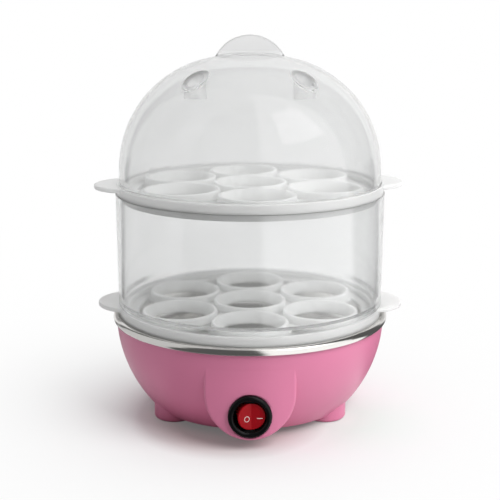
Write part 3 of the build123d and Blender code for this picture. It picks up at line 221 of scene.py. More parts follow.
class MetalSettings(bpy.types.PropertyGroup):
    """Colours of the metal parts."""

    stainless_color: bpy.props.FloatVectorProperty(
        name="Stainless", description="Colour of the heating tray",
        subtype="COLOR", size=3, min=0, max=1, default=(0.70, 0.69, 0.67))
    zinc_color: bpy.props.FloatVectorProperty(
        name="Zinc plate", description="Colour of screws, nuts, studs and brackets",
        subtype="COLOR", size=3, min=0, max=1, default=(0.60, 0.61, 0.60))
    aluminium_color: bpy.props.FloatVectorProperty(
        name="Aluminium", description="Colour of the heat spreader and the heating tube",
        subtype="COLOR", size=3, min=0, max=1, default=(0.77, 0.77, 0.78))
    brass_color: bpy.props.FloatVectorProperty(
        name="Brass", description="Colour of the switch blades and the plunger",
        subtype="COLOR", size=3, min=0, max=1, default=(0.75, 0.55, 0.24))
    copper_color: bpy.props.FloatVectorProperty(
        name="Copper", description="Colour of the contact lever",
        subtype="COLOR", size=3, min=0, max=1, default=(0.78, 0.40, 0.26))


class SwitchSettings(bpy.types.PropertyGroup):
    """Rocker switch colours and the size of its marks."""

    rocker_color: bpy.props.FloatVectorProperty(
        name="Rocker colour", description="Colour of the rocker",
        subtype="COLOR", size=3, min=0, max=1, default=(0.305, 0.003, 0.008))
    bezel_color: bpy.props.FloatVectorProperty(
        name="Bezel colour", description="Colour of the switch body",
        subtype="COLOR", size=3, min=0, max=1, default=(0.004, 0.004, 0.0045))
    mark_color: bpy.props.FloatVectorProperty(
        name="Mark colour", description="Colour of the O and of the dash",
        subtype="COLOR", size=3, min=0, max=1, default=(0.86, 0.78, 0.76))
    ring_width: bpy.props.FloatProperty(
        name="O width", description="Outer width of the O", unit="LENGTH", default=3.0 * MM)
    ring_height: bpy.props.FloatProperty(
        name="O height", description="Outer height of the O", unit="LENGTH", default=3.2 * MM)
    dash_length: bpy.props.FloatProperty(
        name="Dash length", description="Length of the dash", unit="LENGTH", default=3.1 * MM)
    ring_stroke: bpy.props.FloatProperty(
        name="O stroke", description="Width of the O's line", unit="LENGTH", default=0.26 * MM)
    dash_stroke: bpy.props.FloatProperty(
        name="Dash stroke", description="Width of the dash", unit="LENGTH", default=0.36 * MM)


class StageSettings(bpy.types.PropertyGroup):
    """Camera, lamps and floor."""

    camera_distance: bpy.props.FloatProperty(
        name="Camera distance", description="Horizontal distance from the camera to the pot's axis",
        unit="LENGTH", default=0.618)
    camera_height: bpy.props.FloatProperty(
        name="Camera height", description="Height of the camera above the floor",
        unit="LENGTH", default=0.233)
    camera_pitch: bpy.props.FloatProperty(
        name="Camera pitch", description="How far the camera looks down",
        unit="ROTATION", default=radians(12.8))
    lens: bpy.props.FloatProperty(
        name="Lens", description="Focal length on a 36 mm sensor", unit="CAMERA", default=77.76)
    key_power: bpy.props.FloatProperty(
        name="Key light", description="Power of the large lamp at the front right",
        unit="POWER", default=18.0)
    key_azimuth: bpy.props.FloatProperty(
        name="Key azimuth", description="How far right of the camera the key light stands",
        unit="ROTATION", default=radians(56))
    key_elevation: bpy.props.FloatProperty(
        name="Key elevation", description="How high the key light stands",
        unit="ROTATION", default=radians(45))
    key_distance: bpy.props.FloatProperty(
        name="Key distance", description="Distance from the pot to the key light", unit="LENGTH", default=1.4)
    key_size: bpy.props.FloatProperty(
        name="Key size", description="Side of the key light's square panel", unit="LENGTH", default=0.9)
    wall_light: bpy.props.FloatProperty(
        name="Wall light", description="Light that comes from the walls of the room", default=0.11)
    back_light: bpy.props.FloatProperty(
        name="Back light", description="Light that the wall behind the pot adds to that", default=0.5)
    ceiling_light: bpy.props.FloatProperty(
        name="Ceiling light", description="Light that the ceiling adds to that", default=0.35)
    floor_color: bpy.props.FloatVectorProperty(
        name="Floor colour", description="Colour of the floor round the pot",
        subtype="COLOR", size=3, min=0, max=1, default=(0.835, 0.835, 0.835))
    floor_glow: bpy.props.FloatProperty(
        name="Floor glow", description="White that the floor adds to its lit colour, as a backdrop does",
        subtype="FACTOR", min=0, max=1, default=0.12)
    # Painted contact shadow: a darker floor colour right under the pot
    contact_shadow_color: bpy.props.FloatVectorProperty(
        name="Contact colour", description="Colour of the floor right under the pot",
        subtype="COLOR", size=3, min=0, max=1, default=(0.45, 0.335, 0.335))
    # Painted shade: a darker floor colour beside the bowl's lit side, tinted to take out the pink the bowl
    # throws there
    side_shade_color: bpy.props.FloatVectorProperty(
        name="Bounce colour", description="Colour of the floor beside the bowl's lit side",
        subtype="COLOR", size=3, min=0, max=1, default=(0.73, 0.85, 0.79))


SETTINGS = {
    "steamer_moulding": MouldingSettings,
    "steamer_clear": ClearSettings,
    "steamer_metal": MetalSettings,
    "steamer_switch": SwitchSettings,
    "steamer_stage": StageSettings,
}


# ---------------------------------------------------------------- node helpers
def add_node(tree, kind, inputs=None, **values):
    """New node with attributes set by keyword and inputs by name or index: a value, or a socket to link."""
    node = tree.nodes.new(kind)
    for key, value in values.items():
        setattr(node, key, value)
    for key, value in (inputs or {}).items():
        if isinstance(value, bpy.types.NodeSocket):
            tree.links.new(value, node.inputs[key])
        else:
            node.inputs[key].default_value = value
    return node


def math_node(tree, operation, first, second=0.5, clamp=False):
    """Output of a math node."""
    node = add_node(tree, "ShaderNodeMath", {0: first, 1: second}, operation=operation, use_clamp=clamp)
    return node.outputs[0]


def remap(tree, value, from_low, from_high, to_low, to_high):
    """Output of a clamped linear remap."""
    node = add_node(tree, "ShaderNodeMapRange", {
        "Value": value, "From Min": from_low, "From Max": from_high, "To Min": to_low, "To Max": to_high})
    return node.outputs["Result"]


def blend_values(tree, factor, first, second):
    """Output of a float mix."""
    node = add_node(tree, "ShaderNodeMix", {0: factor, 2: first, 3: second})
    return node.outputs[0]


def blend_colors(tree, factor, first, second, mode="MIX"):
    """Output of a colour mix."""
    node = add_node(tree, "ShaderNodeMix", {"Factor": factor}, data_type="RGBA", blend_type=mode)
    for socket, value in ((node.inputs[6], first), (node.inputs[7], second)):
        if isinstance(value, bpy.types.NodeSocket):
            tree.links.new(value, socket)
        else:
            socket.default_value = value
    return node.outputs[2]


def noise(tree, place, scale, detail=3.0, roughness=0.55):
    """Output of a 3D noise texture."""
    node = add_node(tree, "ShaderNodeTexNoise", {
        "Vector": place, "Scale": scale, "Detail": detail, "Roughness": roughness})
    return node.outputs["Fac"]


def vector_math(tree, operation, first, second=(0.0, 0.0, 0.0), output="Value"):
    """Output of a vector math node."""
    return add_node(tree, "ShaderNodeVectorMath", {0: first, 1: second}, operation=operation).outputs[output]


def object_place(tree):
    """Point of the surface in the object's own frame."""
    return add_node(tree, "ShaderNodeTexCoord").outputs["Object"]


def split_xyz(tree, vector):
    """X, Y and Z outputs of a vector."""
    return add_node(tree, "ShaderNodeSeparateXYZ", {0: vector}).outputs


def swing(tree, value, width):
    """Offset about 0, of the given width, from a value between 0 and 1."""
    return math_node(tree, "MULTIPLY", math_node(tree, "SUBTRACT", value, 0.5), width)


def shaded(tree, color, shade):
    """Colour times a shade."""
    gray = add_node(tree, "ShaderNodeCombineColor", {0: shade, 1: shade, 2: shade}).outputs[0]
    return blend_colors(tree, 1.0, color, gray, "MULTIPLY")


def set_surface(tree, shader):
    """Put a shader's output on the material's surface."""
    output = next(node for node in tree.nodes if node.type == "OUTPUT_MATERIAL")
    tree.links.new(shader, output.inputs["Surface"])


def group_tree(name, inputs, outputs):
    """Empty shader node group with named float or colour sockets: its tree, inputs and output node."""
    tree = bpy.data.node_groups.new(name, "ShaderNodeTree")
    for socket, default in inputs.items():
        kind = "NodeSocketColor" if isinstance(default, tuple) else "NodeSocketFloat"
        made = tree.interface.new_socket(name=socket, in_out="INPUT", socket_type=kind)
        made.default_value = default
    for socket, kind in outputs.items():
        tree.interface.new_socket(name=socket, in_out="OUTPUT", socket_type=kind)
    source = tree.nodes.new("NodeGroupInput").outputs
    target = tree.nodes.new("NodeGroupOutput")
    return tree, source, target


def rgba(color):
    """Colour with full alpha."""
    return (*color[:3], 1.0)


# ---------------------------------------------------------------- shared effects
def moulded_skin_group():
    """Injection-moulded skin: flow mottling of the colour, uneven gloss and a fine pebble."""
    tree, source, target = group_tree("moulded_skin", {
        "Color": (0.8, 0.8, 0.8, 1.0), "Mottle": 0.04, "Flow Scale": 22.0, "Pebble Scale": 2600.0,
        "Roughness": 0.35, "Gloss Spread": 0.06,
    }, {"Color": "NodeSocketColor", "Roughness": "NodeSocketFloat", "Height": "NodeSocketFloat"})
    place = object_place(tree)
    flow = noise(tree, place, source["Flow Scale"], detail=4)
    smudge = noise(tree, place, math_node(tree, "MULTIPLY", source["Flow Scale"], SMUDGE_SCALE), detail=5)
    pebble = noise(tree, place, source["Pebble Scale"], detail=2)
    wide = math_node(tree, "MULTIPLY", swing(tree, flow, source["Mottle"]), 2.0)
    shade = math_node(tree, "ADD", wide, 1.0)
    gloss = swing(tree, smudge, source["Gloss Spread"])
    tree.links.new(shaded(tree, source["Color"], shade), target.inputs["Color"])
    tree.links.new(math_node(tree, "ADD", gloss, source["Roughness"], clamp=True), target.inputs["Roughness"])
    tree.links.new(pebble, target.inputs["Height"])
    return tree


def edge_rub_group():
    """Mask of the rubbed convex edges, broken up by noise."""
    tree, source, target = group_tree("edge_rub", {
        "Radius": 0.0006, "Amount": 1.0, "Break Scale": 160.0}, {"Mask": "NodeSocketFloat"})
    breaks = noise(tree, object_place(tree), source["Break Scale"], detail=4)
    rounded = add_node(tree, "ShaderNodeBevel", {"Radius": source["Radius"]}, samples=4).outputs[0]
    true_normal = add_node(tree, "ShaderNodeNewGeometry").outputs["Normal"]
    edge = remap(tree, vector_math(tree, "DOT_PRODUCT", rounded, true_normal), *EDGE_COSINE, 0.0, 1.0)
    broken = math_node(tree, "MULTIPLY", edge, remap(tree, breaks, *EDGE_NOISE, EDGE_LEAST, 1.0))
    mask = math_node(tree, "MULTIPLY", broken, source["Amount"], clamp=True)
    tree.links.new(mask, target.inputs["Mask"])
    return tree


def settled_dust_group():
    """Mask of the thin dust that lies on surfaces facing up."""
    tree, source, target = group_tree("settled_dust", {
        "Amount": 0.1, "Speck Scale": 900.0}, {"Mask": "NodeSocketFloat"})
    place = object_place(tree)
    facing = add_node(tree, "ShaderNodeNewGeometry").outputs["Normal"]
    level = remap(tree, split_xyz(tree, facing)["Z"], *DUST_SLOPE, 0.0, 1.0)
    patches = remap(tree, noise(tree, place, DUST_PATCH_SCALE), *DUST_PATCH_NOISE, 0.0, 1.0)
    specks = remap(tree, noise(tree, place, source["Speck Scale"], detail=1), *DUST_SPECK_NOISE, 0.0, 1.0)
    lying = math_node(tree, "MULTIPLY", math_node(tree, "MULTIPLY", level, patches), specks)
    mask = math_node(tree, "MULTIPLY", lying, source["Amount"], clamp=True)
    tree.links.new(mask, target.inputs["Mask"])
    return tree


def turned_lines_group():
    """Fine rings about the pot's axis, as spinning and polishing leave them, with their own gloss."""
    tree, source, target = group_tree("turned_lines", {
        "Pitch Scale": 1500.0, "Roughness": 0.2, "Spread": 0.1, "Along Scale": 14.0,
    }, {"Roughness": "NodeSocketFloat", "Height": "NodeSocketFloat"})
    parts = split_xyz(tree, object_place(tree))
    flat = add_node(tree, "ShaderNodeCombineXYZ", {0: parts["X"], 1: parts["Y"]}).outputs[0]
    radius = vector_math(tree, "LENGTH", flat)
    angle = math_node(tree, "ARCTAN2", parts["Y"], parts["X"])
    line_place = add_node(tree, "ShaderNodeCombineXYZ", {
        0: math_node(tree, "MULTIPLY", radius, source["Pitch Scale"]),
        1: math_node(tree, "MULTIPLY", parts["Z"], source["Pitch Scale"]),
        2: math_node(tree, "MULTIPLY", angle, source["Along Scale"]),
    }).outputs[0]
    lines = noise(tree, line_place, 1.0, detail=4, roughness=0.7)
    gloss = swing(tree, lines, source["Spread"])
    tree.links.new(math_node(tree, "ADD", gloss, source["Roughness"], clamp=True), target.inputs["Roughness"])
    tree.links.new(lines, target.inputs["Height"])
    return tree


def plated_spangle_group():
    """Cloudy plating or rolled sheet: patches of colour and gloss with fine pits."""
    tree, source, target = group_tree("plated_spangle", {
        "Color": (0.6, 0.6, 0.6, 1.0), "Patch Scale": 260.0, "Roughness": 0.35, "Spread": 0.14,
    }, {"Color": "NodeSocketColor", "Roughness": "NodeSocketFloat", "Height": "NodeSocketFloat"})
    place = object_place(tree)
    cells = add_node(tree, "ShaderNodeTexVoronoi", {"Vector": place, "Scale": source["Patch Scale"]})
    cell = add_node(tree, "ShaderNodeSeparateColor", {0: cells.outputs["Color"]}).outputs[0]
    cloud = noise(tree, place, math_node(tree, "MULTIPLY", source["Patch Scale"], CLOUD_SCALE), detail=5)
    both = math_node(tree, "MULTIPLY", math_node(tree, "ADD", cell, cloud), 0.5)
    shade = remap(tree, both, *SPANGLE_NOISE, *SPANGLE_SHADE)
    gloss = swing(tree, both, source["Spread"])
    tree.links.new(shaded(tree, source["Color"], shade), target.inputs["Color"])
    tree.links.new(math_node(tree, "ADD", gloss, source["Roughness"], clamp=True), target.inputs["Roughness"])
    tree.links.new(cloud, target.inputs["Height"])
    return tree


SHARED_EFFECTS = {
    "moulded_skin": moulded_skin_group,
    "edge_rub": edge_rub_group,
    "settled_dust": settled_dust_group,
    "turned_lines": turned_lines_group,
    "plated_spangle": plated_spangle_group,
}


def effect(tree, name, **inputs):
    """Shared effect placed in a material, with its inputs by name; returns its outputs."""
    if name not in bpy.data.node_groups:
        SHARED_EFFECTS[name]()
    named = {key.replace("_", " ").title(): value for key, value in inputs.items()}
    return add_node(tree, "ShaderNodeGroup", named, node_tree=bpy.data.node_groups[name]).outputs


# ---------------------------------------------------------------- materials
def new_material(name, **shader_values):
    """Material with its tree and Principled shader; constants go straight on the shader's sockets."""
    material = bpy.data.materials.new(name)
    material.use_nodes = True
    tree = material.node_tree
    shader = tree.nodes["Principled BSDF"]
    for key, value in shader_values.items():
        shader.inputs[key.replace("_", " ").title().replace("Ior", "IOR")].default_value = value
    return material, tree, shader


def add_bump(tree, shader, height, distance, strength=1.0):
    """Bump of a real depth on the shader's normal."""
    bump = add_node(tree, "ShaderNodeBump", {"Height": height, "Distance": distance, "Strength": strength})
    tree.links.new(bump.outputs["Normal"], shader.inputs["Normal"])


def moulded_plastic(name, color, roughness, mottle=0.03, gloss_spread=0.06, pebble_depth=0.004 * MM,
                    rub=0.15, dust=0.05, flow_scale=22.0, **shader_values):
    """Opaque moulded plastic: mottled skin, paler rubbed edges and a trace of dust."""
    material, tree, shader = new_material(name, **shader_values)
    skin = effect(tree, "moulded_skin", color=rgba(color), mottle=mottle, flow_scale=flow_scale,
                  roughness=roughness, gloss_spread=gloss_spread)
    rubbed = effect(tree, "edge_rub", amount=rub)["Mask"]
    settled = effect(tree, "settled_dust", amount=dust)["Mask"]
    paler = rgba([(1.0 - RUB_WHITENING) * channel + RUB_WHITENING for channel in color])
    worn = blend_colors(tree, rubbed, skin["Color"], paler)
    tree.links.new(blend_colors(tree, settled, worn, DUST_COLOR), shader.inputs["Base Color"])
    dull = math_node(tree, "MULTIPLY", settled, DUST_ROUGHNESS)
    tree.links.new(math_node(tree, "ADD", skin["Roughness"], dull, clamp=True), shader.inputs["Roughness"])
    add_bump(tree, shader, skin["Height"], pebble_depth)
    return material


def plated_metal(name, color, roughness, patch_scale=260.0, spread=0.14, pit_depth=0.006 * MM):
    """Plated, rolled or cast metal with cloudy patches and brighter rubbed edges."""
    material, tree, shader = new_material(name, metallic=1.0)
    sheet = effect(tree, "plated_spangle", color=rgba(color), patch_scale=patch_scale,
                   roughness=roughness, spread=spread)
    rubbed = effect(tree, "edge_rub", radius=0.25 * MM, amount=0.6, break_scale=500.0)["Mask"]
    brighter = rgba([min(1.0, channel * RUB_BRIGHTENING) for channel in color])
    tree.links.new(blend_colors(tree, rubbed, sheet["Color"], brighter), shader.inputs["Base Color"])
    tree.links.new(sheet["Roughness"], shader.inputs["Roughness"])
    add_bump(tree, shader, sheet["Height"], pit_depth)
    return material


def polished_stainless(color, ring_depth=0.0008 * MM):
    """Spun and polished stainless sheet with fine rings and faint heat straw in the dish."""
    material, tree, shader = new_material("polished_stainless", metallic=1.0)
    lines = effect(tree, "turned_lines", pitch_scale=2600.0, roughness=0.14, spread=0.07, along_scale=9.0)
    clouds = noise(tree, object_place(tree), STRAW_SCALE, detail=5)
    heated = math_node(tree, "MULTIPLY", remap(tree, clouds, *STRAW_NOISE, 0.0, 1.0), STRAW_AMOUNT)
    tree.links.new(blend_colors(tree, heated, rgba(color), STRAW_COLOR), shader.inputs["Base Color"])
    tree.links.new(lines["Roughness"], shader.inputs["Roughness"])
    add_bump(tree, shader, lines["Height"], ring_depth)
    return material


def clear_plastic(name, tint, foot_z, settings, skin_depth=0.0015 * MM):
    """Clear moulding, faintly milky, with flow lines and handling scratches; fin, wells and foot are hazy."""
    material, tree, shader = new_material(name, ior=settings.ior, transmission_weight=settings.transmission)
    skin = effect(tree, "moulded_skin", color=rgba(tint), mottle=0.015, flow_scale=30.0,
                  roughness=settings.roughness, gloss_spread=0.03)
    settled = effect(tree, "settled_dust", amount=0.10, speck_scale=1400.0)["Mask"]
    scratches = effect(tree, "turned_lines", pitch_scale=900.0, roughness=settings.roughness, spread=0.05,
                       along_scale=5.0)
    parts = split_xyz(tree, object_place(tree))
    fin = remap(tree, parts["Z"], FIN_ROOT_Z, FIN_ROOT_Z + FIN_FADE, 0.0, 1.0)
    mirrored = add_node(tree, "ShaderNodeCombineXYZ", {
        0: math_node(tree, "ABSOLUTE", parts["X"]), 1: parts["Y"]}).outputs[0]
    from_well = vector_math(tree, "DISTANCE", mirrored, WELL_CENTRE)
    near_well = remap(tree, from_well, WELL_R, WELL_R + WELL_FADE, 1.0, 0.0)
    above = remap(tree, parts["Z"], WELL_LOW_Z, WELL_LOW_Z + WELL_FADE, 0.0, 1.0)
    wells = math_node(tree, "MULTIPLY", near_well, above)
    foot = remap(tree, parts["Z"], foot_z, foot_z + FOOT_HAZE_HEIGHT, 1.0, 0.0)

    dusty = blend_colors(tree, settled, skin["Color"], CLEAR_DUST_COLOR)
    tinted = blend_colors(tree, fin, dusty, rgba(settings.fin_tint))
    tree.links.new(blend_colors(tree, wells, tinted, rgba(settings.well_tint)), shader.inputs["Base Color"])

    hazy = math_node(tree, "MULTIPLY", fin, settings.fin_haze)
    for mask, haze in ((wells, settings.well_haze), (foot, settings.foot_haze)):
        hazy = math_node(tree, "MAXIMUM", hazy, math_node(tree, "MULTIPLY", mask, haze))
    gloss = math_node(tree, "MAXIMUM", skin["Roughness"], scratches["Roughness"])
    tree.links.new(math_node(tree, "ADD", gloss, hazy, clamp=True), shader.inputs["Roughness"])
    add_bump(tree, shader, skin["Height"], skin_depth)
    let_lamps_through(tree, shader, settings.shadow_tint)
    return material


def let_lamps_through(tree, shader, tint):
    """Lamps shine through the clear moulding, as through thin clear walls, and lose only its tint."""
    path = add_node(tree, "ShaderNodeLightPath").outputs
    through = add_node(tree, "ShaderNodeBsdfTransparent", {"Color": rgba(tint)})
    mix = add_node(
        tree, "ShaderNodeMixShader", {0: path["Is Shadow Ray"], 1: shader.outputs[0], 2: through.outputs[0]})
    set_surface(tree, mix.outputs[0])


def milky_plastic(settings):
    """Milky translucent moulding of the racks."""
    return moulded_plastic(
        "milky_moulding", settings.rack_color, settings.rack_roughness, mottle=0.02, gloss_spread=0.08,
        rub=0.05, dust=0.05, subsurface_weight=0.9, subsurface_radius=(1.0, 1.0, 1.0),
        subsurface_scale=9 * MM)


def silicone_lead(name, color, strand_depth=0.02 * MM):
    """Silicone wire insulation, slightly dusty, with the lay of the strands showing through."""
    material, tree, shader = new_material(name, sheen_weight=0.2)
    skin = effect(tree, "moulded_skin", color=rgba(color), mottle=0.08, flow_scale=160.0, roughness=0.5,
                  gloss_spread=0.12, pebble_scale=1900.0)
    tree.links.new(skin["Color"], shader.inputs["Base Color"])
    tree.links.new(skin["Roughness"], shader.inputs["Roughness"])
    add_bump(tree, shader, skin["Height"], strand_depth)
    return material


def woven_glass(color, weave_depth=0.08 * MM):
    """Woven glass-fibre sleeve."""
    material, tree, shader = new_material("woven_glass_sleeve", roughness=0.75, sheen_weight=0.3)
    place = object_place(tree)
    strands = []
    for turn in (WEAVE_ANGLE, -WEAVE_ANGLE):
        laid = add_node(
            tree, "ShaderNodeVectorRotate", {"Vector": place, "Angle": turn}, rotation_type="Z_AXIS")
        wave = add_node(tree, "ShaderNodeTexWave", {
            "Vector": laid.outputs[0], "Scale": WEAVE_SCALE, "Distortion": WEAVE_DISTORTION})
        strands.append(wave.outputs["Fac"])
    weave = math_node(tree, "MAXIMUM", *strands)
    low = rgba([WEAVE_SHADE * channel for channel in color])
    tree.links.new(blend_colors(tree, weave, low, rgba(color)), shader.inputs["Base Color"])
    add_bump(tree, shader, weave, weave_depth)
    return material


def lamp_glass(glow_share=0.6):
    """Neon lamp bulb."""
    material, tree, shader = new_material(
        "lamp_glass", ior=1.5, transmission_weight=0.9, emission_strength=0.4)
    skin = effect(tree, "moulded_skin", color=LAMP_SKIN, roughness=0.08, gloss_spread=0.03)
    tree.links.new(skin["Color"], shader.inputs["Base Color"])
    tree.links.new(skin["Roughness"], shader.inputs["Roughness"])
    glow = blend_colors(tree, glow_share, skin["Color"], NEON_GLOW)
    tree.links.new(glow, shader.inputs["Emission Color"])
    return material


# ---------------------------------------------------------------- dressing and mesh helpers
def dress(material, *nodes, smooth_angle=35):
    """Give CAD nodes their material and smooth shading across shallow angles."""
    for name in nodes:
        obj = frame["nodes"][name]
        obj.data.materials.clear()
        obj.data.materials.append(material)
        shade_smooth(obj, smooth_angle)


def shade_smooth(obj, angle=35):
    """Smooth shading that keeps sharp edges."""
    obj.data.shade_smooth()
    obj.data.set_sharp_from_angle(angle=radians(angle))


def new_piece(name, mesh_data, material, body):
    """Object for a bmesh, with its material, riding on a CAD body."""
    mesh = bpy.data.meshes.new(name)
    bmesh.ops.recalc_face_normals(mesh_data, faces=mesh_data.faces)
    mesh_data.to_mesh(mesh)
    mesh_data.free()
    obj = bpy.data.objects.new(name, mesh)
    bpy.context.scene.collection.objects.link(obj)
    mesh.materials.append(material)
    shade_smooth(obj)
    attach(obj, body)
    return obj


def lofted_loop(sections, closed=True):
    """bmesh skin over equal rings of points, joined end to end when closed."""
    made = bmesh.new()
    rings = [[made.verts.new(point) for point in section] for section in sections]
    count = len(rings[0])
    last = len(rings) if closed else len(rings) - 1
    for here in range(last):
        after = rings[(here + 1) % len(rings)]
        for k in range(count):
            made.faces.new((rings[here][k], rings[here][(k + 1) % count], after[(k + 1) % count], after[k]))
    if not closed:
        made.faces.new(rings[0])
        made.faces.new(list(reversed(rings[-1])))
    return made


def rocker_face(side):
    """One half of the rocker's V face at rest: origin on the valley line, X outward, Z off the face."""
    pivot = Vector(next(joint["pos_m"] for joint in frame["joints"] if joint["name"] == "rocker_tilt"))
    tilt = radians(ROCKER_TILT)
    valley = pivot + Matrix.Rotation(tilt, 3, "Z") @ Vector((0, -VALLEY_DEPTH, 0))
    lean = tilt - side * radians(ROCKER_TILT)
    along = Matrix.Rotation(lean, 3, "Z") @ Vector((side, 0, 0))
    up = Vector((0, 0, 1))
    off = Matrix.Rotation(lean, 3, "Z") @ Vector((0, -1, 0))
    return Matrix((
        (along.x, up.x, off.x, valley.x),
        (along.y, up.y, off.y, valley.y),
        (along.z, up.z, off.z, valley.z),
        (0, 0, 0, 1),
    ))


def ring_mark(place, centre, width, height, stroke):
    """Inlaid oval ring with rounded edges on a rocker half."""
    flat = RING_FLAT / 2
    profile = [(-0.5, -MARK_SUNK), (-0.5, MARK_SHOULDER), (-flat, MARK_PROUD), (flat, MARK_PROUD),
               (0.5, MARK_SHOULDER), (0.5, -MARK_SUNK)]
    sections = []
    for step in range(RING_STEPS):
        angle = 2 * pi * step / RING_STEPS
        section = []
        for across, proud in profile:
            half_width = (width - stroke) / 2 + across * stroke
            half_height = (height - stroke) / 2 + across * stroke
            x = centre[0] + half_width * cos(angle)
            y = centre[1] + half_height * sin(angle)
            section.append(place @ Vector((x, y, proud)))
        sections.append(section)
    return lofted_loop(sections)


def dash_mark(place, centre, length, stroke):
    """Inlaid dash with round ends on a rocker half."""
    outline = []
    for end in (1, -1):
        for step in range(DASH_END_STEPS + 1):
            angle = pi * step / DASH_END_STEPS - pi / 2
            x = end * ((length - stroke) / 2 + stroke / 2 * cos(angle))
            y = end * stroke / 2 * sin(angle)
            outline.append(Vector((x, y)))
    sections = []
    for share, proud in ((1.0, -MARK_SUNK), (1.0, MARK_SHOULDER), (DASH_FLAT, MARK_PROUD)):
        shrink = (1 - share) * stroke / 2
        points = [point - point.normalized() * shrink for point in outline]
        sections.append([place @ Vector((centre[0] + x, centre[1] + y, proud)) for x, y in points])
    return lofted_loop(sections, closed=False)


# ---------------------------------------------------------------- operators
class DressBaseShell(bpy.types.Operator):
    """Pink moulding of the bowl, plain moulding of the cover and the cord clamp"""

    bl_idname = "egg_steamer.dress_base"
    bl_label = "Base mouldings"

    def execute(self, context):
        colors = context.scene.steamer_moulding
        pink = moulded_plastic(
            "pink_moulding", colors.bowl_color, colors.bowl_roughness, mottle=0.035, rub=0.12, dust=0.04,
            specular_ior_level=0.45)
        plain = moulded_plastic("plain_moulding", colors.plain_color, roughness=0.48, mottle=0.03, rub=0.1)
        dress(pink, "base_shell")
        dress(plain, "bottom_cover", "cord_clamp")
        return {"FINISHED"}


class DressHeater(bpy.types.Operator):
    """Stainless tray, aluminium plate and tube, thermostat, fuse and their fixings"""

    bl_idname = "egg_steamer.dress_heater"
    bl_label = "Heating tray and heater"

    def execute(self, context):
        metals = context.scene.steamer_metal
        zinc = plated_metal("zinc_plate", metals.zinc_color, roughness=0.36)
        plate = plated_metal("cast_aluminium", metals.aluminium_color, roughness=0.42, patch_scale=140.0)
        tube = plated_metal(
            "heating_tube", metals.aluminium_color, roughness=0.30, patch_scale=420.0, spread=0.2)
        dress(polished_stainless(metals.stainless_color), "heating_tray")
        dress(plate, "heat_spreader")
        dress(tube, "heating_element")
        dress(zinc, "tray_brackets", "plate_studs", "stud_nuts", "thermostat_clamp", "fuse_clip", "earth_tab",
              "element_tabs", "cover_screws", "tie_screws", "clamp_screws")
        dress(moulded_plastic("ceramic_bead", CERAMIC, roughness=0.7, mottle=0.06, rub=0.0), "element_seals")
        dress(moulded_plastic("thermoset", THERMOSET, roughness=0.45, mottle=0.2), "thermostat")
        dress(woven_glass(GLASS_FIBRE), "thermal_fuse")
        return {"FINISHED"}


class DressWiring(bpy.types.Operator):
    """Leads and their insulated push-on terminals"""

    bl_idname = "egg_steamer.dress_wiring"
    bl_label = "Wiring"

    def execute(self, context):
        sleeve = moulded_plastic(
            "nylon_sleeve", NYLON, roughness=0.4, mottle=0.05, subsurface_weight=0.3, subsurface_scale=1 * MM)
        dress(silicone_lead("brown_lead", BROWN_LEAD), "lead_switch_to_thermostat")
        dress(silicone_lead("blue_lead", BLUE_LEAD), "lead_element_to_switch")
        dress(silicone_lead("white_lead", WHITE_LEAD), "lead_thermostat_to_fuse", "lead_fuse_to_element")
        dress(sleeve, "push_on_terminals")
        return {"FINISHED"}


class DressCordEntry(bpy.types.Operator):
    """Rubber bush of the cord entry"""

    bl_idname = "egg_steamer.dress_cord_entry"
    bl_label = "Cord entry"

    def execute(self, context):
        rubber = moulded_plastic(
            "soft_bush", SOFT_BUSH, roughness=0.55, mottle=0.12, gloss_spread=0.12, dust=0.2)
        dress(rubber, "cord_grommet")
        return {"FINISHED"}


class DressSwitch(bpy.types.Operator):
    """Switch body, rocker, contacts, lamp and the inlaid O and dash"""

    bl_idname = "egg_steamer.dress_switch"
    bl_label = "Rocker switch"

    def execute(self, context):
        settings = context.scene.steamer_switch
        metals = context.scene.steamer_metal
        black = moulded_plastic(
            "black_gloss", settings.bezel_color, roughness=0.16, mottle=0.1, gloss_spread=0.05, rub=0.03,
            dust=0.03, specular_ior_level=0.14)
        red = moulded_plastic(
            "red_rocker", settings.rocker_color, roughness=0.22, mottle=0.05, gloss_spread=0.05, rub=0.04,
            dust=0.01, specular_ior_level=0.12)
        dress(black, "switch_housing")
        dress(red, "rocker_button")
        dress(plated_metal("brass", metals.brass_color, roughness=0.28), "switch_terminals", "switch_plunger")
        dress(plated_metal("copper", metals.copper_color, roughness=0.30), "contact_lever")
        dress(plated_metal("spring_steel", metals.zinc_color, roughness=0.25), "switch_spring")
        dress(lamp_glass(), "switch_lamp")

        paint = moulded_plastic(
            "mark_inlay", settings.mark_color, roughness=0.4, mottle=0.03, rub=0.0, dust=0.0)
        ring = ring_mark(
            rocker_face(-1), RING_CENTRE, settings.ring_width, settings.ring_height, settings.ring_stroke)
        new_piece("rocker_mark_o", ring, paint, "rocker")
        dash = dash_mark(rocker_face(1), DASH_CENTRE, settings.dash_length, settings.dash_stroke)
        new_piece("rocker_mark_dash", dash, paint, "rocker")
        return {"FINISHED"}


class DressRacks(bpy.types.Operator):
    """Milky moulding of both egg racks"""

    bl_idname = "egg_steamer.dress_racks"
    bl_label = "Egg racks"

    def execute(self, context):
        dress(milky_plastic(context.scene.steamer_moulding), "lower_rack", "upper_rack")
        return {"FINISHED"}


class DressClearTiers(bpy.types.Operator):
    """Clear moulding of the drum and the dome lid"""

    bl_idname = "egg_steamer.dress_clear"
    bl_label = "Drum and lid"

    def execute(self, context):
        settings = context.scene.steamer_clear
        for piece, tint in (("drum", settings.drum_tint), ("lid", settings.lid_tint)):
            foot_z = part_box(piece)[0][2]
            dress(clear_plastic("clear_" + piece, tint, foot_z, settings), piece)
        return {"FINISHED"}


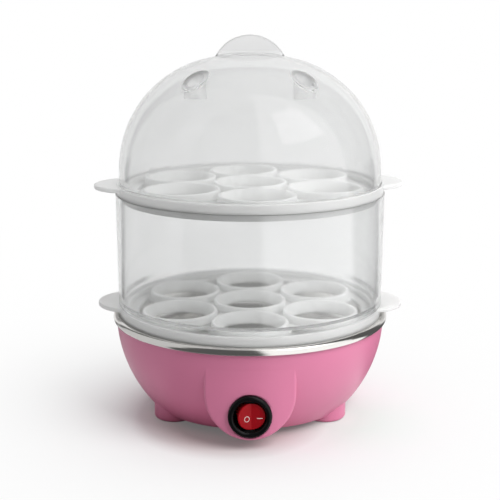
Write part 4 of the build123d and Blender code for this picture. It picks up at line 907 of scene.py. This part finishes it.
class BuildStage(bpy.types.Operator):
    """Pale floor, soft studio lamp, room light and the camera"""

    bl_idname = "egg_steamer.build_stage"
    bl_label = "Stage"

    def execute(self, context):
        settings = context.scene.steamer_stage
        add_floor(settings)
        add_room(settings)
        add_key_light(settings)
        add_camera(settings)
        context.scene.view_settings.view_transform = "Standard"
        return {"FINISHED"}


def add_floor(settings):
    """Round floor, just under the feet."""
    made = bmesh.new()
    bmesh.ops.create_circle(made, cap_ends=True, radius=FLOOR_R, segments=FLOOR_SEGMENTS)
    mesh = bpy.data.meshes.new("floor")
    made.to_mesh(mesh)
    made.free()
    floor = bpy.data.objects.new("floor", mesh)
    floor.location.z = -FLOOR_DROP
    bpy.context.scene.collection.objects.link(floor)
    mesh.materials.append(floor_material(settings))


def floor_material(settings):
    """Matt pale floor that fades to plain white for the camera, gloss and glass; clear from below."""
    material, tree, shader = new_material("floor", roughness=0.9, specular_ior_level=0.0)
    place = object_place(tree)
    away = vector_math(tree, "LENGTH", place)
    outward = vector_math(tree, "NORMALIZE", place, output="Vector")
    from_contact_shadow, from_side_shade, from_shadow = [
        vector_math(tree, "DISTANCE", place, centre)
        for centre in (PAINTED_CONTACT_SHADOW_CENTRE, PAINTED_SIDE_SHADE_CENTRE, FLOOR_SHADOW_CENTRE)]

    # Painted shade beside the bowl's lit side, laid over the floor's colour
    around = blend_colors(tree, remap(tree, from_side_shade, *PAINTED_SIDE_SHADE, 0.0, 1.0),
                          rgba(settings.side_shade_color), rgba(settings.floor_color))
    # Painted contact shadow right under the pot, laid over the floor's colour
    under = blend_colors(tree, remap(tree, from_contact_shadow, *PAINTED_CONTACT_SHADOW, 0.0, 1.0),
                         rgba(settings.contact_shadow_color), around)
    tree.links.new(under, shader.inputs["Base Color"])

    beyond = math_node(tree, "MAXIMUM", math_node(tree, "SUBTRACT", from_shadow, FLOOR_SHADOW_R), 0.0)
    left = math_node(tree, "EXPONENT", math_node(tree, "DIVIDE", beyond, -FLOOR_SHADOW_FADE))
    fade = math_node(tree, "SUBTRACT", 1.0, math_node(tree, "MULTIPLY", left, 1.0 - settings.floor_glow))
    glossy_fade = remap(tree, away, *FLOOR_GLOSS_FADE, 0.0, 1.0)
    glossy = add_node(tree, "ShaderNodeLightPath").outputs["Is Glossy Ray"]
    walls, _ = lit_walls(tree, outward, WALL_BRIGHTNESS)
    strength = blend_values(tree, glossy, 1.0, walls)
    white = add_node(tree, "ShaderNodeEmission", {"Color": (1, 1, 1, 1), "Strength": strength})
    factor = math_node(tree, "MULTIPLY", blend_values(tree, glossy, fade, glossy_fade), seen_directly(tree))
    top = add_node(tree, "ShaderNodeMixShader", {0: factor, 1: shader.outputs[0], 2: white.outputs[0]})

    from_below = add_node(tree, "ShaderNodeNewGeometry").outputs["Backfacing"]
    clear = add_node(tree, "ShaderNodeBsdfTransparent")
    sides = add_node(tree, "ShaderNodeMixShader", {0: from_below, 1: top.outputs[0], 2: clear.outputs[0]})
    set_surface(tree, sides.outputs[0])
    return material


def seen_directly(tree):
    """1 for rays from the camera, from gloss and through glass, otherwise 0."""
    path = add_node(tree, "ShaderNodeLightPath").outputs
    near = math_node(tree, "MAXIMUM", path["Is Camera Ray"], path["Is Glossy Ray"])
    return math_node(tree, "MAXIMUM", near, path["Is Transmission Ray"])


def add_room(settings):
    """World: white where it is seen, soft room light on the pot, and the room's walls in its gloss."""
    world = bpy.data.worlds.new("room")
    world.use_nodes = True
    tree = world.node_tree
    path = add_node(tree, "ShaderNodeLightPath").outputs
    direction = add_node(tree, "ShaderNodeTexCoord").outputs["Generated"]
    parts = split_xyz(tree, direction)
    ceiling = math_node(tree, "MULTIPLY", math_node(tree, "MAXIMUM", parts["Z"], 0.0), settings.ceiling_light)
    behind = math_node(tree, "MULTIPLY", math_node(tree, "MAXIMUM", parts["Y"], 0.0), settings.back_light)
    shed = math_node(tree, "ADD", math_node(tree, "ADD", ceiling, behind), settings.wall_light)
    walls = blend_values(tree, path["Is Glossy Ray"], shed, room_walls(tree, direction))
    seen = math_node(tree, "MAXIMUM", path["Is Camera Ray"], path["Is Transmission Ray"])
    background = tree.nodes["Background"]
    background.inputs["Color"].default_value = (1, 1, 1, 1)
    tree.links.new(blend_values(tree, seen, walls, 1.0), background.inputs["Strength"])
    bpy.context.scene.world = world


def lit_walls(tree, direction, brightness):
    """Brightness raised to the lit walls' and the white backdrop's in each direction, and the azimuth."""
    parts = split_xyz(tree, direction)
    forward = math_node(tree, "MULTIPLY", parts["Y"], -1.0)
    azimuth = math_node(tree, "DEGREES", math_node(tree, "ARCTAN2", parts["X"], forward))
    for centre, half_width, level in BRIGHT_WALLS:
        lit = math_node(tree, "MULTIPLY", soft_band(tree, azimuth, centre, half_width, WALL_EDGE), level)
        brightness = math_node(tree, "MAXIMUM", brightness, lit)
    backdrop = remap(tree, parts["Y"], *BACKDROP_COSINE, 0.0, BACKDROP_BRIGHTNESS)
    return math_node(tree, "MAXIMUM", brightness, backdrop), azimuth


def room_walls(tree, direction):
    """Brightness of the room in each direction: dark walls, lit stretches, backdrop and a soft window."""
    elevation = math_node(tree, "DEGREES", math_node(tree, "ARCSINE", split_xyz(tree, direction)["Z"]))
    ceiling = remap(tree, elevation, *CEILING_ELEVATION, WALL_BRIGHTNESS, CEILING_BRIGHTNESS)
    brightness, azimuth = lit_walls(tree, direction, ceiling)
    window = math_node(
        tree, "MULTIPLY", soft_band(tree, azimuth, WINDOW_AZIMUTH, WINDOW_HALF_WIDTH, WINDOW_EDGE),
        soft_band(tree, elevation, WINDOW_ELEVATION, WINDOW_HALF_HEIGHT, WINDOW_EDGE))
    return math_node(tree, "ADD", brightness, math_node(tree, "MULTIPLY", window, WINDOW_BRIGHTNESS))


def soft_band(tree, value, centre, half_width, edge):
    """1 within half_width of the centre, falling smoothly to 0 over the edge."""
    distance = math_node(tree, "ABSOLUTE", math_node(tree, "SUBTRACT", value, centre))
    node = add_node(tree, "ShaderNodeMapRange", {
        "Value": distance, "From Min": half_width, "From Max": half_width + edge,
        "To Min": 1.0, "To Max": 0.0,
    }, interpolation_type="SMOOTHSTEP")
    return node.outputs["Result"]


def add_key_light(settings):
    """Large square panel at the front right; the world's window stands for it in gloss."""
    data = bpy.data.lights.new("key_light", "AREA")
    data.size = settings.key_size
    data.energy = settings.key_power
    lamp = bpy.data.objects.new("key_light", data)
    level = cos(settings.key_elevation)
    towards = Vector((level * sin(settings.key_azimuth), -level * cos(settings.key_azimuth),
                      sin(settings.key_elevation)))
    lamp.location = towards * settings.key_distance
    lamp.rotation_euler = towards.to_track_quat("Z", "Y").to_euler()
    lamp.visible_glossy = False
    lamp.visible_transmission = False
    bpy.context.scene.collection.objects.link(lamp)


def add_camera(settings):
    """Camera in front of the pot, looking a little down."""
    data = bpy.data.cameras.new("camera")
    data.sensor_width = SENSOR_WIDTH
    data.lens = settings.lens
    data.clip_start = CLIP_START
    camera = bpy.data.objects.new("camera", data)
    camera.location = (0.0, -settings.camera_distance, settings.camera_height)
    camera.rotation_euler = (pi / 2 - settings.camera_pitch, 0.0, 0.0)
    bpy.context.scene.collection.objects.link(camera)
    bpy.context.scene.camera = camera


OPERATORS = (
    DressBaseShell, DressHeater, DressWiring, DressCordEntry, DressSwitch, DressRacks, DressClearTiers,
    BuildStage,
)


class EggSteamerPanel(bpy.types.Panel):
    """Sidebar panel that lists the steamer's settings and steps"""

    bl_idname = "VIEW3D_PT_egg_steamer"
    bl_label = "Egg Steamer"
    bl_space_type = "VIEW_3D"
    bl_region_type = "UI"
    bl_category = "Egg Steamer"

    def draw(self, context):
        layout = self.layout
        for name, group in SETTINGS.items():
            box = layout.box()
            box.label(text=group.__doc__)
            for key in group.__annotations__:
                box.prop(getattr(context.scene, name), key)
        for operator in OPERATORS:
            layout.operator(operator.bl_idname)


CLASSES = (*SETTINGS.values(), *OPERATORS, EggSteamerPanel)


def register():
    """Register the classes and hang the settings on the scene."""
    for each in CLASSES:
        bpy.utils.register_class(each)
    for name, group in SETTINGS.items():
        setattr(bpy.types.Scene, name, bpy.props.PointerProperty(type=group))


def unregister():
    """Take the settings and classes away again."""
    for name in SETTINGS:
        delattr(bpy.types.Scene, name)
    for each in reversed(CLASSES):
        bpy.utils.unregister_class(each)


def main():
    """Dress the frame and build the stage."""
    register()
    for operator in OPERATORS:
        space, name = operator.bl_idname.split(".")
        getattr(getattr(bpy.ops, space), name)()


if __name__ == "__main__":
    main()
